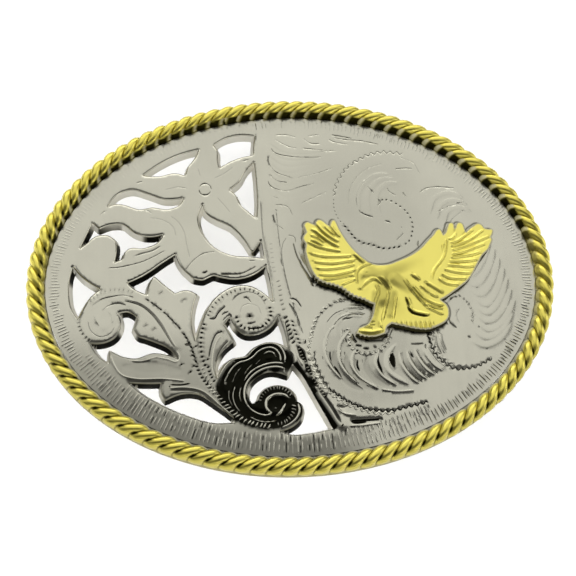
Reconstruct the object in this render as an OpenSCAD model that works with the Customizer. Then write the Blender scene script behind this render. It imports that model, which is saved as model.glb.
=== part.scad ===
// Western belt buckle: a domed oval face, pierced with a flower and scrolls on its left half,
// a twisted rope edge, a raised eagle, and a belt loop and a hook stud behind.
// The face looks up (+Z), the belt loop is at the +X end, and +Y is up as the eagle stands.
// The origin is at the middle of the oval, on the level that the loop and the stud rest on.

/* [Oval] */
// Length of the oval over the rope edge
buckle_l = 100; // [92:1:108]
// Width of the oval over the rope edge
buckle_w = 75; // [70:1:80]
// Radius of the dome of the face
dome_r = 625; // [500:25:900]
// Height of the crown of the face above the resting level
crown_z = 11.8; // [11.5:0.1:14]
// Thickness of the face plate
plate_t = 2; // [1.6:0.1:2.4]
// Clear gap between neighbouring pieces
seat_gap = 0.1; // [0.08:0.01:0.15]

/* [Rope edge] */
// Width of the rope edge
rope_w = 3.4; // [3:0.1:3.8]
// Height of the rope's middle above the face beside it
rope_rise = 0.6; // [0.4:0.1:0.9]
// Turns of the twist around the whole oval
rope_turns = 96; // [80:2:110]
// Depth of the grooves between the turns
rope_groove = 0.42; // [0.2:0.02:0.6]

/* [Belt loop] */
// Diameter of the loop's wire
wire_d = 3; // [2.6:0.1:3.2]
// Distance between the middles of the two legs
loop_w = 43; // [42:0.5:46]
// Place of the legs' feet along the oval
loop_foot_x = 23.5; // [22:0.5:25]
// Place of the crossbar along the oval
loop_bar_x = 31; // [29:0.5:33]

/* [Hook stud] */
// Diameter of the stud
stud_d = 3.8; // [3.4:0.1:4.2]
// Place of the stud's foot along the oval
stud_foot_x = -33; // [-34:0.5:-32]
// Place of the stud across the oval
stud_y = -0.6; // [-1:0.1:0]
// Lean of the stud towards the end of the oval, in degrees
stud_lean = 26; // [20:1:30]
// Diameter of the shoulder that the belt rests against
shoulder_d = 5; // [4.8:0.1:5.2]

/* [Figure] */
// Height of the eagle's wings above the face
wing_h = 1.8; // [1.4:0.1:2]
// Height of the eagle's body above the face
body_h = 2.4; // [2:0.1:2.8]

/* [Hidden] */

silver = [0.74, 0.73, 0.68];
gold = [0.86, 0.76, 0.22];
steel = [0.66, 0.66, 0.62];

fx = buckle_l / 100;
fy = buckle_w / 75;
back_r = dome_r - plate_t;
round_fn = 96;
dome_fn = 256;
edge_step = 1;
oval_sides = 192;
// Height that clears the crown, for shapes that are cut through the dome or out of it
cut_h = crown_z + 6;

// Pierced openings of the face. Columns: x, y, and 1 where the outline has a corner.
petal_gap_high = [
    [-35.0, 16.0, 1], [-33.4, 18.2, 0], [-30.6, 19.3, 0], [-27.0, 18.2, 0], [-23.8, 16.9, 0],
    [-20.4, 17.1, 1], [-21.2, 15.7, 0], [-23.4, 14.9, 0], [-26.6, 15.4, 0], [-28.9, 15.1, 0],
    [-31.2, 16.0, 0], [-33.2, 16.5, 0]];
petal_gap_low = [
    [-40.1, 7.7, 1], [-38.9, 10.4, 0], [-37.8, 12.7, 1], [-36.5, 11.4, 1], [-34.6, 12.1, 0],
    [-32.0, 12.0, 0], [-29.8, 10.2, 0], [-27.4, 9.3, 0], [-24.4, 9.6, 1], [-25.4, 8.1, 0],
    [-28.2, 7.0, 0], [-31.0, 7.0, 0], [-32.0, 5.9, 0], [-32.3, 4.9, 1], [-33.7, 4.4, 1],
    [-33.3, 6.2, 0], [-33.5, 8.7, 0], [-35.0, 10.0, 0], [-37.2, 9.9, 0], [-39.2, 8.3, 0]];
end_gap = [
    [-41.4, 3.9, 1], [-39.6, 1.6, 0], [-36.3, -0.9, 1], [-38.3, -2.5, 0], [-39.6, -4.6, 0],
    [-40.5, -6.4, 1], [-41.6, -4.4, 0], [-42.1, -1.0, 0], [-42.0, 1.6, 0]];
middle_gap = [
    [-31.3, 0.1, 1], [-28.0, 1.6, 0], [-24.6, 3.9, 0], [-22.2, 5.4, 1], [-21.3, 3.0, 0],
    [-19.0, 0.4, 1], [-17.2, 0.0, 0], [-15.2, 0.8, 0], [-13.9, 0.4, 1], [-11.0, -0.1, 0],
    [-7.8, 0.6, 0], [-5.3, 2.3, 1], [-4.7, -0.8, 0], [-4.3, -4.8, 1], [-6.0, -3.1, 0],
    [-8.4, -1.6, 0], [-11.4, -1.5, 0], [-14.0, -2.8, 0], [-16.4, -5.4, 0], [-18.0, -9.0, 0],
    [-18.9, -11.9, 1], [-19.5, -8.8, 0], [-19.1, -5.0, 0], [-18.4, -2.8, 1], [-20.2, -1.9, 0],
    [-22.5, -2.4, 1], [-24.2, -0.9, 0], [-26.3, 1.2, 1], [-27.3, -0.3, 0], [-27.7, -2.4, 1],
    [-29.4, -1.6, 0], [-30.6, -0.7, 0]];
left_scroll_gap = [
    [-33.1, -5.9, 1], [-31.4, -5.6, 0], [-29.5, -6.8, 1], [-30.2, -9.0, 1], [-29.3, -10.5, 1],
    [-26.4, -11.7, 0], [-23.8, -13.1, 0], [-22.2, -15.1, 1], [-24.6, -14.1, 0], [-26.8, -13.8, 0],
    [-29.8, -14.6, 0], [-32.4, -14.1, 0], [-34.7, -12.8, 1], [-34.8, -15.4, 1], [-36.6, -13.9, 0],
    [-38.2, -11.3, 1], [-35.8, -11.4, 0], [-33.7, -10.5, 0], [-32.6, -8.6, 0], [-32.6, -7.0, 0]];
stem_gap = [
    [-31.2, -19.1, 1], [-28.2, -19.4, 0], [-25.3, -19.5, 1], [-25.4, -21.2, 0], [-24.6, -22.7, 1],
    [-21.8, -21.7, 0], [-18.8, -21.9, 0], [-15.8, -23.9, 0], [-12.6, -26.5, 1], [-12.4, -27.4, 1],
    [-16.2, -27.3, 0], [-21.0, -25.7, 0], [-26.0, -23.2, 0], [-29.6, -20.7, 0]];
leaf_gap = [
    [-12.4, -7.5, 1], [-11.7, -9.3, 0], [-9.8, -11.1, 0], [-7.4, -11.1, 0], [-5.2, -10.0, 0],
    [-3.4, -7.7, 1], [-2.6, -10.4, 0], [-2.0, -14.0, 1], [-4.0, -12.9, 0], [-6.4, -12.8, 0],
    [-8.4, -13.8, 0], [-9.8, -15.1, 0], [-12.2, -15.5, 0], [-13.9, -16.6, 0], [-15.2, -19.2, 1],
    [-15.5, -17.2, 0], [-14.4, -14.5, 0], [-11.9, -12.3, 1], [-12.6, -10.8, 0], [-13.6, -9.0, 1]];
volute_gap = [
    [-1.4, -16.9, 1], [0.1, -18.9, 0], [2.4, -23.4, 0], [5.3, -29.3, 1], [1.0, -30.0, 0],
    [-2.6, -30.0, 0], [-4.2, -29.3, 1], [-2.2, -28.7, 0], [-0.7, -27.5, 0], [-0.1, -25.9, 0],
    [-0.4, -24.4, 0], [-1.2, -23.9, 1], [-1.3, -22.9, 0], [-2.2, -21.6, 0], [-4.0, -20.9, 0],
    [-6.0, -21.2, 0], [-7.5, -22.4, 0], [-8.1, -23.7, 0], [-9.0, -24.2, 0], [-9.7, -23.5, 0],
    [-9.9, -22.0, 0], [-9.3, -20.4, 0], [-8.0, -19.2, 0], [-6.2, -18.4, 0], [-4.2, -18.5, 0],
    [-2.6, -19.1, 1], [-2.0, -17.9, 0]];
top_gap = [
    [-14.2, 28.5, 1], [-11.8, 29.9, 0], [-8.8, 30.5, 0], [-6.1, 30.2, 1], [-6.5, 27.6, 0],
    [-6.6, 26.0, 1], [-9.4, 25.4, 0], [-13.3, 23.4, 1], [-13.5, 25.2, 0], [-13.5, 27.2, 0]];
top_left_gap = [
    [-28.1, 22.4, 1], [-25.0, 24.6, 0], [-21.4, 26.4, 0], [-17.2, 27.6, 1], [-17.9, 25.9, 0],
    [-19.3, 24.0, 1], [-20.0, 22.0, 1], [-22.2, 22.6, 0], [-24.6, 22.1, 0], [-26.4, 22.1, 0]];
flower_gap_right = [
    [-11.5, 18.5, 1], [-9.6, 20.1, 0], [-8.3, 22.4, 0], [-6.5, 24.4, 1], [-6.3, 20.0, 0],
    [-6.3, 15.5, 0], [-6.6, 12.3, 1], [-8.3, 13.9, 0], [-9.6, 15.4, 0], [-10.4, 17.4, 0]];
flower_gap_low = [
    [-16.8, 15.5, 1], [-17.7, 12.9, 0], [-17.0, 9.5, 0], [-15.0, 6.7, 0], [-11.6, 4.8, 0],
    [-8.0, 4.3, 0], [-5.5, 3.9, 1], [-5.9, 7.5, 1], [-7.7, 5.0, 1], [-9.3, 8.0, 0],
    [-11.4, 10.5, 0], [-14.8, 12.5, 0], [-16.1, 13.6, 0]];
OPENINGS = [petal_gap_high, petal_gap_low, end_gap, middle_gap, left_scroll_gap, stem_gap,
    leaf_gap, volute_gap, top_gap, top_left_gap, flower_gap_right, flower_gap_low];

// Raised band between the pierced half and the engraved field. Columns: x, y, corner.
divider = [
    [-6.2, 31.4, 1], [-5.9, 24.0, 0], [-5.7, 16.0, 0], [-5.4, 8.0, 0], [-4.4, 0.0, 0],
    [-3.2, -6.0, 0], [-1.7, -12.0, 0], [0.2, -17.4, 0], [2.9, -23.0, 0], [6.0, -28.9, 1],
    [8.3, -28.6, 1], [5.2, -22.6, 0], [2.7, -16.6, 0], [1.0, -11.6, 0], [-0.6, -5.8, 0],
    [-1.9, 0.2, 0], [-2.7, 8.0, 0], [-3.0, 16.0, 0], [-3.2, 24.0, 0], [-3.5, 31.4, 1]];
divider_h = 0.25;

// Raised round parts of the pattern. Columns: x, y, radius at the face, height.
bosses = [
    [-16.2, 18.7, 1.4, 0.6],
    [-35.6, -7.2, 3.0, 0.45],
    [-8.8, -6.9, 4.4, 0.5],
    [-4.7, -24.6, 2.6, 0.6]];
// Width that a boss's ball keeps past its edge, below the face
boss_skirt = 0.1;

// Heights of the dome and of its hollow side at a place on the oval
function face_z(p) = crown_z - dome_r + sqrt(dome_r * dome_r - p.x * p.x - p.y * p.y);
function back_z(p) = crown_z - dome_r + sqrt(back_r * back_r - p.x * p.x - p.y * p.y);

// A smooth closed outline through the rows of a table, straight on into each corner
function place(t, i) = let (r = t[(i + len(t)) % len(t)]) [r.x * fx, r.y * fy];
function sharp(t, i) = t[(i + len(t)) % len(t)][2] == 1;
function flow(a, b, c) = let (u = b - a, v = c - b, w = u / norm(u) * norm(v) + v / norm(v) * norm(u))
    w / norm(w);
function blend(p, m, q, n, u) = (2 * u * u * u - 3 * u * u + 1) * p + (u * u * u - 2 * u * u + u) * m
    + (3 * u * u - 2 * u * u * u) * q + (u * u * u - u * u) * n;
function stretch(t, i) = let (
    p = place(t, i), q = place(t, i + 1), d = q - p, l = norm(d),
    s = sharp(t, i), e = sharp(t, i + 1),
    a = s ? d : flow(place(t, i - 1), p, q) * l,
    b = e ? d : flow(p, q, place(t, i + 2)) * l,
    m = s && !e ? (3 * d - b) / 2 : a,
    n = e && !s ? (3 * d - a) / 2 : b,
    k = s && e ? 1 : max(1, round(l / edge_step)))
    [for (j = [0:k - 1]) blend(p, m, q, n, j / k)];
function outline(t) = [for (i = [0:len(t) - 1]) each stretch(t, i)];

// The oval drawn in from the outer edge by a distance
function oval_point(a, inset) = let (
    l = buckle_l / 2 - rope_w / 2, w = buckle_w / 2 - rope_w / 2,
    n = [w * cos(a), l * sin(a)])
    [l * cos(a), w * sin(a)] + n / norm(n) * (rope_w / 2 - inset);
function oval(inset) = [for (i = [0:oval_sides - 1]) oval_point(i * 360 / oval_sides, inset)];

// A ball whose surface is the dome at a radius
module dome_ball(r) {
    translate([0, 0, crown_z - dome_r]) rotate([90, 0, 0]) sphere(r = r, $fn = dome_fn);
}

// The part of the dome between two radii, under a flat shape
module dome_shell(outer, inner) {
    difference() {
        intersection() {
            dome_ball(outer);
            linear_extrude(height = cut_h) children();
        }
        dome_ball(inner);
    }
}

// A low round boss on the face, the cap of a ball: x, y, radius, height
module boss(b) {
    ball_r = (b[2] * b[2] + b[3] * b[3]) / (2 * b[3]);
    translate([b[0] * fx, b[1] * fy, face_z([b[0] * fx, b[1] * fy])]) intersection() {
        translate([0, 0, b[3] - ball_r]) sphere(r = ball_r, $fn = round_fn);
        translate([0, 0, -plate_t / 2]) cylinder(r = b[2] + boss_skirt, h = plate_t, $fn = round_fn);
    }
}

module face_plate() {
    color(silver) difference() {
        union() {
            dome_shell(dome_r, back_r) polygon(oval(rope_w + seat_gap));
            dome_shell(dome_r + divider_h, dome_r - plate_t / 2) polygon(outline(divider));
            for (b = bosses) boss(b);
        }
        for (t = OPENINGS)
            linear_extrude(height = cut_h) polygon(outline(t));
    }
}

// The rope edge is swept along the oval. Its rings are skewed, so that each groove is a line of
// edges that climbs over the rope. Columns of the profile: across (1 is the outer side), height
// as a share of the rope's radius, share of the groove's depth, share of the skew.
rope_profile = [
    [-1.00, -1.60, 0, -1], [-1.00, -0.55, 0, -1], [-0.94, 0.10, 0.9, -0.9], [-0.72, 0.66, 1, -0.65],
    [-0.30, 0.95, 1, -0.3], [0.18, 0.98, 1, 0.15], [0.62, 0.78, 1, 0.55], [0.92, 0.36, 1, 0.85],
    [1.00, -0.12, 0.6, 1], [0.97, -0.45, 0, 1], [0.97, -1.60, 0, 1]];
// Fullness of a turn at each ring, from one groove to the next
turn_rings = [0, 0.8, 1, 0.8];
skew_l = 1.6;
rope_rings = rope_turns * len(turn_rings);

arc_sides = 720;
function arc_step(i) = norm(oval_point((i + 1) * 360 / arc_sides, rope_w / 2)
    - oval_point(i * 360 / arc_sides, rope_w / 2));
arc_table = [for (i = 0, s = 0; i <= arc_sides; s = s + arc_step(i), i = i + 1)
    [s, i * 360 / arc_sides]];
arc_l = arc_table[arc_sides][0];
function arc_angle(s) = let (w = s < 0 ? s + arc_l : s >= arc_l ? s - arc_l : s) lookup(w, arc_table);

function rope_point(ring, row) = let (
    full = turn_rings[ring % len(turn_rings)],
    a = arc_angle(ring * arc_l / rope_rings - row[3] * skew_l),
    r = rope_w / 2,
    cut = (1 - full) * rope_groove * row[2],
    up = row[1] * r - cut * max(0, row[1]),
    p = oval_point(a, r - row[0] * r + cut * sign(row[0]) * min(1, abs(row[0])) * (1 - max(0, row[1]))))
    [p.x, p.y, face_z(p) + rope_rise + up];

module rope_edge() {
    n = len(rope_profile);
    points = [for (i = [0:rope_rings - 1], row = rope_profile) rope_point(i, row)];
    sides = [for (i = [0:rope_rings - 1], j = [0:n - 1]) let (
        a = i * n + j,
        b = i * n + (j + 1) % n,
        c = ((i + 1) % rope_rings) * n + j,
        d = ((i + 1) % rope_rings) * n + (j + 1) % n)
        each [[a, b, c], [b, d, c]]];
    color(gold) polyhedron(points = points, faces = sides);
}

// Feathers of the eagle. Columns: tip x, y, root x, y, half width at the tip.
left_feathers = [
    [7.8, 9.9, 10.6, 4.6, 0.8], [5.2, 10.1, 10.6, 3.9, 1.0], [3.0, 9.4, 10.6, 3.2, 1.0],
    [2.5, 7.4, 10.6, 2.8, 0.95], [2.5, 5.3, 10.6, 2.3, 0.95], [2.7, 3.5, 10.6, 1.9, 0.9],
    [3.2, 1.9, 10.8, 1.4, 0.85], [3.9, 0.5, 11.0, 0.9, 0.85], [4.9, -1.0, 11.4, 0.3, 0.85],
    [6.6, -2.0, 12.0, -0.4, 0.85], [8.3, -3.1, 12.4, -1.0, 0.9], [10.2, -4.1, 13.0, -1.4, 0.9],
    [12.4, -4.9, 13.8, -2.0, 0.9]];
right_feathers = [
    [28.1, 7.2, 25.3, 3.2, 0.9], [30.6, 8.7, 27.8, 4.3, 0.85], [32.5, 8.6, 28.9, 4.1, 0.9],
    [34.4, 7.7, 29.0, 3.9, 0.9], [36.2, 8.5, 29.1, 3.7, 1.0], [38.0, 7.7, 29.1, 3.3, 0.85],
    [37.5, 5.9, 28.9, 2.9, 0.95], [36.3, 4.1, 28.7, 2.4, 0.95], [35.0, 2.4, 28.3, 1.8, 0.95],
    [33.9, 1.0, 27.9, 1.1, 0.95], [32.9, -0.4, 27.5, 0.4, 0.95], [31.8, -1.6, 27.1, -0.3, 0.9],
    [30.5, -2.6, 26.7, -1.0, 0.9], [29.1, -3.5, 26.1, -1.7, 0.9], [27.8, -4.3, 25.3, -2.3, 0.9]];
tail_feathers = [
    [27.2, -7.0, 21.5, -2.6, 0.95], [27.5, -8.3, 21.2, -3.2, 0.95], [26.8, -9.4, 20.9, -3.8, 0.95],
    [25.1, -10.3, 20.6, -4.4, 0.9], [23.5, -10.5, 20.2, -4.9, 0.9], [22.0, -10.4, 19.8, -5.4, 0.9],
    [20.5, -10.2, 19.4, -5.8, 0.9], [19.0, -9.5, 18.8, -6.0, 0.85]];
// Limbs of the eagle. Columns: x, y, half width and height share at each of the two ends.
limbs = [
    [16.4, -0.6, 2.0, 1.0, 16.4, -5.6, 2.4, 1.0],
    [17.2, -5.4, 2.4, 1.0, 19.4, -7.6, 1.8, 0.85],
    [17.0, -0.6, 2.0, 0.95, 23.5, 1.9, 1.8, 0.85],
    [23.5, 1.9, 1.8, 0.85, 27.2, 5.0, 1.7, 0.8],
    [21.0, -1.7, 1.8, 0.85, 26.8, 1.2, 1.6, 0.8],
    [24.0, -1.4, 1.6, 0.8, 28.0, 3.6, 1.5, 0.8],
    [18.6, -1.6, 2.0, 1.0, 21.4, -3.6, 1.6, 0.9],
    [14.6, 0.2, 1.5, 0.9, 11.8, 2.9, 1.1, 0.85],
    [11.8, 2.9, 1.1, 0.85, 9.2, 6.9, 0.65, 0.8],
    [11.6, 0.4, 1.5, 0.85, 13.0, -3.4, 1.6, 0.85],
    [13.2, 0.0, 1.3, 1.0, 15.2, 0.0, 1.6, 1.0],
    [12.7, -0.9, 0.9, 0.95, 12.0, -2.6, 0.4, 0.8],
    [15.4, -4.6, 1.6, 1.0, 14.6, -9.0, 1.2, 0.9],
    [14.2, -9.8, 1.1, 0.9, 12.0, -11.2, 0.9, 0.8],
    [14.6, -9.8, 1.1, 0.9, 15.3, -11.6, 0.85, 0.8],
    [12.4, -11.4, 0.8, 0.8, 15.2, -11.8, 0.8, 0.8],
    [18.0, -4.8, 1.7, 0.95, 17.7, -8.6, 1.2, 0.9],
    [22.5, -2.2, 1.4, 0.75, 26.4, -4.6, 0.7, 0.55]];
ball_fn = 12;

// An upright lump on the face with a round top: place, half width, height
module lump(x, y, r, h) {
    translate([x * fx, y * fy, face_z([x * fx, y * fy]) - seat_gap]) {
        cylinder(r = r, h = seat_gap, $fn = ball_fn);
        translate([0, 0, h / 2]) scale([r, r, h / 2 + seat_gap]) sphere(r = 1, $fn = ball_fn);
    }
}

module feather(f) {
    hull() {
        lump(f[0], f[1], f[4], wing_h);
        lump(f[2], f[3], f[4] * 0.6, wing_h * 1.15);
    }
}

module limb(b) {
    hull() {
        lump(b[0], b[1], b[2], b[3] * body_h);
        lump(b[4], b[5], b[6], b[7] * body_h);
    }
}

module eagle_figure() {
    color(gold) difference() {
        union() {
            for (f = left_feathers) feather(f);
            for (f = right_feathers) feather(f);
            for (f = tail_feathers) feather(f);
            for (b = limbs) limb(b);
        }
        dome_ball(dome_r + seat_gap);
    }
}

// A straight round wire between two points
module wire(a, b) {
    d = b - a;
    translate(a) rotate([0, acos(d.z / norm(d)), atan2(d.y, d.x)])
        cylinder(d = wire_d, h = norm(d), $fn = round_fn);
}

// The crossbar and two legs with rounded corners, each leg on a round foot under the hollow side
module belt_loop() {
    bar_z = wire_d / 2;
    foot_h = 1;
    foot_d = wire_d * 2;
    color(steel) intersection() {
        union() {
            for (side = [-1, 1]) {
                corner = [loop_bar_x, side * loop_w / 2, bar_z];
                foot = [loop_foot_x, side * loop_w / 2, back_z([loop_foot_x, loop_w / 2])];
                wire(corner, foot + (foot - corner) / norm(foot - corner) * wire_d / 2);
                translate(corner) sphere(d = wire_d, $fn = round_fn);
                translate([foot.x, foot.y, foot.z - foot_h])
                    cylinder(d = foot_d, h = foot_h * 3, $fn = round_fn);
            }
            wire([loop_bar_x, -loop_w / 2, bar_z], [loop_bar_x, loop_w / 2, bar_z]);
        }
        dome_ball(back_r - seat_gap);
    }
}

// The stud is turned: a plain post with a bevelled tip and a shoulder, on a round foot that lies
// along the hollow side of the face.
module hook_stud() {
    tip_bevel = 0.6;
    foot_h = 0.9;
    foot_d = shoulder_d + 1;
    // Clear height between the shoulder's low side and the foot
    shoulder_clear = 0.55;
    slope = asin(stud_foot_x / back_r);
    tip_r = stud_d / 2 - tip_bevel;
    tip_z = tip_r * sin(stud_lean);
    foot_z = back_z([stud_foot_x, stud_y]) - seat_gap;
    rise = foot_z - tip_z;
    whole_l = rise / cos(stud_lean) + stud_d;
    post_l = (rise - foot_h - shoulder_clear) / cos(stud_lean) - shoulder_d / 2 * tan(stud_lean);
    color(steel) difference() {
        union() {
            translate([stud_foot_x - rise * tan(stud_lean), stud_y, tip_z]) rotate([0, stud_lean, 0])
                rotate_extrude($fn = round_fn) polygon([[0, 0], [tip_r, 0], [stud_d / 2, tip_bevel],
                    [stud_d / 2, post_l], [shoulder_d / 2, post_l], [shoulder_d / 2, whole_l],
                    [0, whole_l]]);
            translate([stud_foot_x, stud_y, foot_z]) rotate([0, slope, 0])
                translate([0, 0, -foot_h]) cylinder(d = foot_d, h = foot_h * 2, $fn = round_fn);
        }
        translate([stud_foot_x, stud_y, foot_z]) rotate([0, slope, 0])
            translate([-foot_d, -foot_d, 0]) cube(foot_d * 2);
    }
}

face_plate();
rope_edge();
eagle_figure();
belt_loop();
hook_stud();
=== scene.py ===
from bisect import bisect
from math import cos, pi, radians, sin, sqrt

import bmesh
import bpy
from mathutils import Matrix, Vector, noise
from mathutils.geometry import delaunay_2d_cdt, interpolate_bezier
from mathutils.kdtree import KDTree


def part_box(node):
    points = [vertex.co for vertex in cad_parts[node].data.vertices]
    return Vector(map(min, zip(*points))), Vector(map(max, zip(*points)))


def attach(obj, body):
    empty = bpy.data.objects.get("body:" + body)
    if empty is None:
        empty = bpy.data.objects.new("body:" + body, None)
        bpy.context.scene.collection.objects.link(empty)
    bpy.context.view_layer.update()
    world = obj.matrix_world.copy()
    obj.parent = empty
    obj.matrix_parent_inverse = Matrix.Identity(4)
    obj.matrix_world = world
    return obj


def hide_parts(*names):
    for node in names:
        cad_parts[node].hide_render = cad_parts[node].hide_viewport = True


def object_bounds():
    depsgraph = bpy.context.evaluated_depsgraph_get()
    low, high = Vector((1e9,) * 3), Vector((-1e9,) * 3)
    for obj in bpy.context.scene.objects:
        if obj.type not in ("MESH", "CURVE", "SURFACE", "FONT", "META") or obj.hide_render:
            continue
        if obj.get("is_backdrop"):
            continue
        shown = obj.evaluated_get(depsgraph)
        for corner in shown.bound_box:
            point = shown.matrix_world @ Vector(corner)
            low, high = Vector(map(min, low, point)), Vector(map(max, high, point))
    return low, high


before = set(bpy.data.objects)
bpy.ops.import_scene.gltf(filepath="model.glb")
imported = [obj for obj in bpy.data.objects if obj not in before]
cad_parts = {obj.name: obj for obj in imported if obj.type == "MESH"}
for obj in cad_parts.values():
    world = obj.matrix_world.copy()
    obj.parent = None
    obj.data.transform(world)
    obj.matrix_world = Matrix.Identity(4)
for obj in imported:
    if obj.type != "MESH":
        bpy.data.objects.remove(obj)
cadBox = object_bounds()
mm = 0.001  # every piece is shaped in millimetres, then scaled to metres

oval = {
    "length": (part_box("rope_edge")[1][0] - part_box("rope_edge")[0][0]) / mm,
    "width": (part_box("rope_edge")[1][1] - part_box("rope_edge")[0][1]) / mm,
    "domeRadius": 625.0,
    "crown": 11.8,  # height of the middle of the face
    "plate": 2.0,
    "seat": 0.1,  # gap between neighbouring pieces
}


def domeHeight(x, y):
    radius = oval["domeRadius"]
    return oval["crown"] - radius + sqrt(radius * radius - x * x - y * y)


def ovalPoint(angle, inset):
    half = ropeSet["width"] / 2
    longHalf = oval["length"] / 2 - half
    shortHalf = oval["width"] / 2 - half
    outward = Vector((shortHalf * cos(angle), longHalf * sin(angle))).normalized()
    middle = Vector((longHalf * cos(angle), shortHalf * sin(angle)))
    return middle + outward * (half - inset)


def smoothStep(low, high, value):
    t = min(1.0, max(0.0, (value - low) / (high - low)))
    return t * t * (3 - 2 * t)


def placeTree(spots):
    tree = KDTree(len(spots))
    for i, spot in enumerate(spots):
        tree.insert((*spot, 0), i)
    tree.balance()
    return tree


def addMesh(name, bm, material):
    mesh = bpy.data.meshes.new(name)
    bm.to_mesh(mesh)
    bm.free()
    mesh.materials.append(material)
    thing = bpy.data.objects.new(name, mesh)
    bpy.context.scene.collection.objects.link(thing)
    return thing


def newMaterial(name, colour, roughness, metallic):
    material = bpy.data.materials.new(name)
    material.use_nodes = True
    shader = material.node_tree.nodes["Principled BSDF"]
    shader.inputs["Base Color"].default_value = (*colour, 1)
    shader.inputs["Metallic"].default_value = metallic
    shader.inputs["Roughness"].default_value = roughness
    return material, shader


def finishPiece(bm, name, material, sharpFrom, slotName, *nodes):
    for face in bm.faces:
        face.smooth = True
    bmesh.ops.recalc_face_normals(bm, faces=bm.faces)
    bmesh.ops.scale(bm, vec=(mm, mm, mm), verts=bm.verts)
    piece = addMesh(name, bm, material)
    piece.data.set_sharp_from_angle(angle=radians(sharpFrom))
    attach(piece, "root")
    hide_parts(*nodes)
    print(name, "has", sum(len(face.vertices) - 2 for face in piece.data.polygons), "triangles")


# Camera

cameraSet = {
    "tilt": 21.2,  # degrees off square to the face, from the lower side
    "turn": 13.2,  # degrees round to the left
    "roll": -3.69,
    "distance": 210.0,
    "aimHeight": 12.4,
    "lens": 69.94,
    "sensor": 36.0,
    "shift": (-0.0118, -0.0227),
    "clip": (0.01, 20.0),  # m
}


def makeCamera():
    tilt, turn, roll = (radians(cameraSet[key]) for key in ("tilt", "turn", "roll"))
    back = Vector((-sin(tilt) * sin(turn), -sin(tilt) * cos(turn), cos(tilt)))
    level = (-back).cross(Vector((0, 1, 0))).normalized()
    upright = level.cross(-back)
    across = level * cos(roll) + upright * sin(roll)
    up = upright * cos(roll) - level * sin(roll)
    place = (back * cameraSet["distance"] + Vector((0, 0, cameraSet["aimHeight"]))) * mm
    data = bpy.data.cameras.new("photoCamera")
    data.lens = cameraSet["lens"]
    data.sensor_width = cameraSet["sensor"]
    data.shift_x, data.shift_y = cameraSet["shift"]
    data.clip_start, data.clip_end = cameraSet["clip"]
    camera = bpy.data.objects.new("photoCamera", data)
    axes = Matrix((across, up, back)).transposed().to_4x4()
    camera.matrix_world = Matrix.Translation(place) @ axes
    bpy.context.scene.collection.objects.link(camera)
    bpy.context.scene.camera = camera
    return camera


# Light and floor

lightSet = {
    "world": 0.12,
    "lensLight": 1.5,  # W, at the lens, so the floor that the camera sees has no shadow
    "lensLightSize": 0.002,  # m
    "target": (0, 0, 0.01),  # m; all lights face this point
    "floorHalf": 1.5,  # m
    "floorTone": 0.95,
    "flagTone": 0.01,
    "cards": {
        # place in mm, width and height in mm, how bright the card looks
        "overheadCard": ((0, 330, 640), (1100, 800), 0.82),
        "rightCard": ((760, 60, 330), (420, 620), 1.3),
        "leftCard": ((-760, 160, 330), (420, 620), 0.9),
        "farCard": ((0, 900, 400), (1500, 380), 1.9),
        "nearCard": ((0, -760, 300), (1300, 420), 0.75),
        "cornerCard": ((600, -560, 300), (700, 420), 1.0),
    },
    "flagRadius": 170.0,  # black disc behind the camera
    "flagDistance": 520.0,
}


def makeLight(name, kind, place):
    data = bpy.data.lights.new(name, kind)
    lamp = bpy.data.objects.new(name, data)
    turn = (Vector(lightSet["target"]) - Vector(place)).to_track_quat("-Z", "Y").to_matrix().to_4x4()
    lamp.matrix_world = Matrix.Translation(place) @ turn
    bpy.context.scene.collection.objects.link(lamp)
    return lamp


def makeStageMesh(name, bm, tone):
    material, shader = newMaterial(name + "Paint", (tone, tone, tone), 0.9, 0.0)
    shader.inputs["Specular IOR Level"].default_value = 0.0
    thing = addMesh(name, bm, material)
    thing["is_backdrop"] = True
    return thing


def makeStudio(camera):
    world = bpy.data.worlds.new("paleRoom")
    world.use_nodes = True
    background = world.node_tree.nodes["Background"]
    background.inputs["Color"].default_value = (1, 1, 1, 1)
    background.inputs["Strength"].default_value = lightSet["world"]
    bpy.context.scene.world = world
    bpy.context.scene.view_settings.view_transform = "Standard"

    bm = bmesh.new()
    bmesh.ops.create_grid(bm, x_segments=2, y_segments=2, size=lightSet["floorHalf"])
    makeStageMesh("floor", bm, lightSet["floorTone"])
    bm = bmesh.new()
    bmesh.ops.create_circle(bm, cap_ends=True, segments=48, radius=lightSet["flagRadius"] * mm)
    flag = makeStageMesh("blackFlag", bm, lightSet["flagTone"])
    back = camera.matrix_world.to_3x3() @ Vector((0, 0, 1))
    away = Matrix.Translation(back * lightSet["flagDistance"] * mm)
    flag.matrix_world = away @ camera.matrix_world.to_3x3().to_4x4()

    lensLight = makeLight("lensLight", "POINT", camera.matrix_world.translation)
    lensLight.data.energy = lightSet["lensLight"]
    lensLight.data.shadow_soft_size = lightSet["lensLightSize"]
    lensLight.visible_glossy = False
    for name, (where, size, glow) in lightSet["cards"].items():
        card = makeLight(name, "AREA", Vector(where) * mm)
        card.data.shape = "RECTANGLE"
        card.data.size, card.data.size_y = size[0] * mm, size[1] * mm
        card.data.energy = glow * pi * size[0] * size[1] * mm * mm


# Materials

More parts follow.
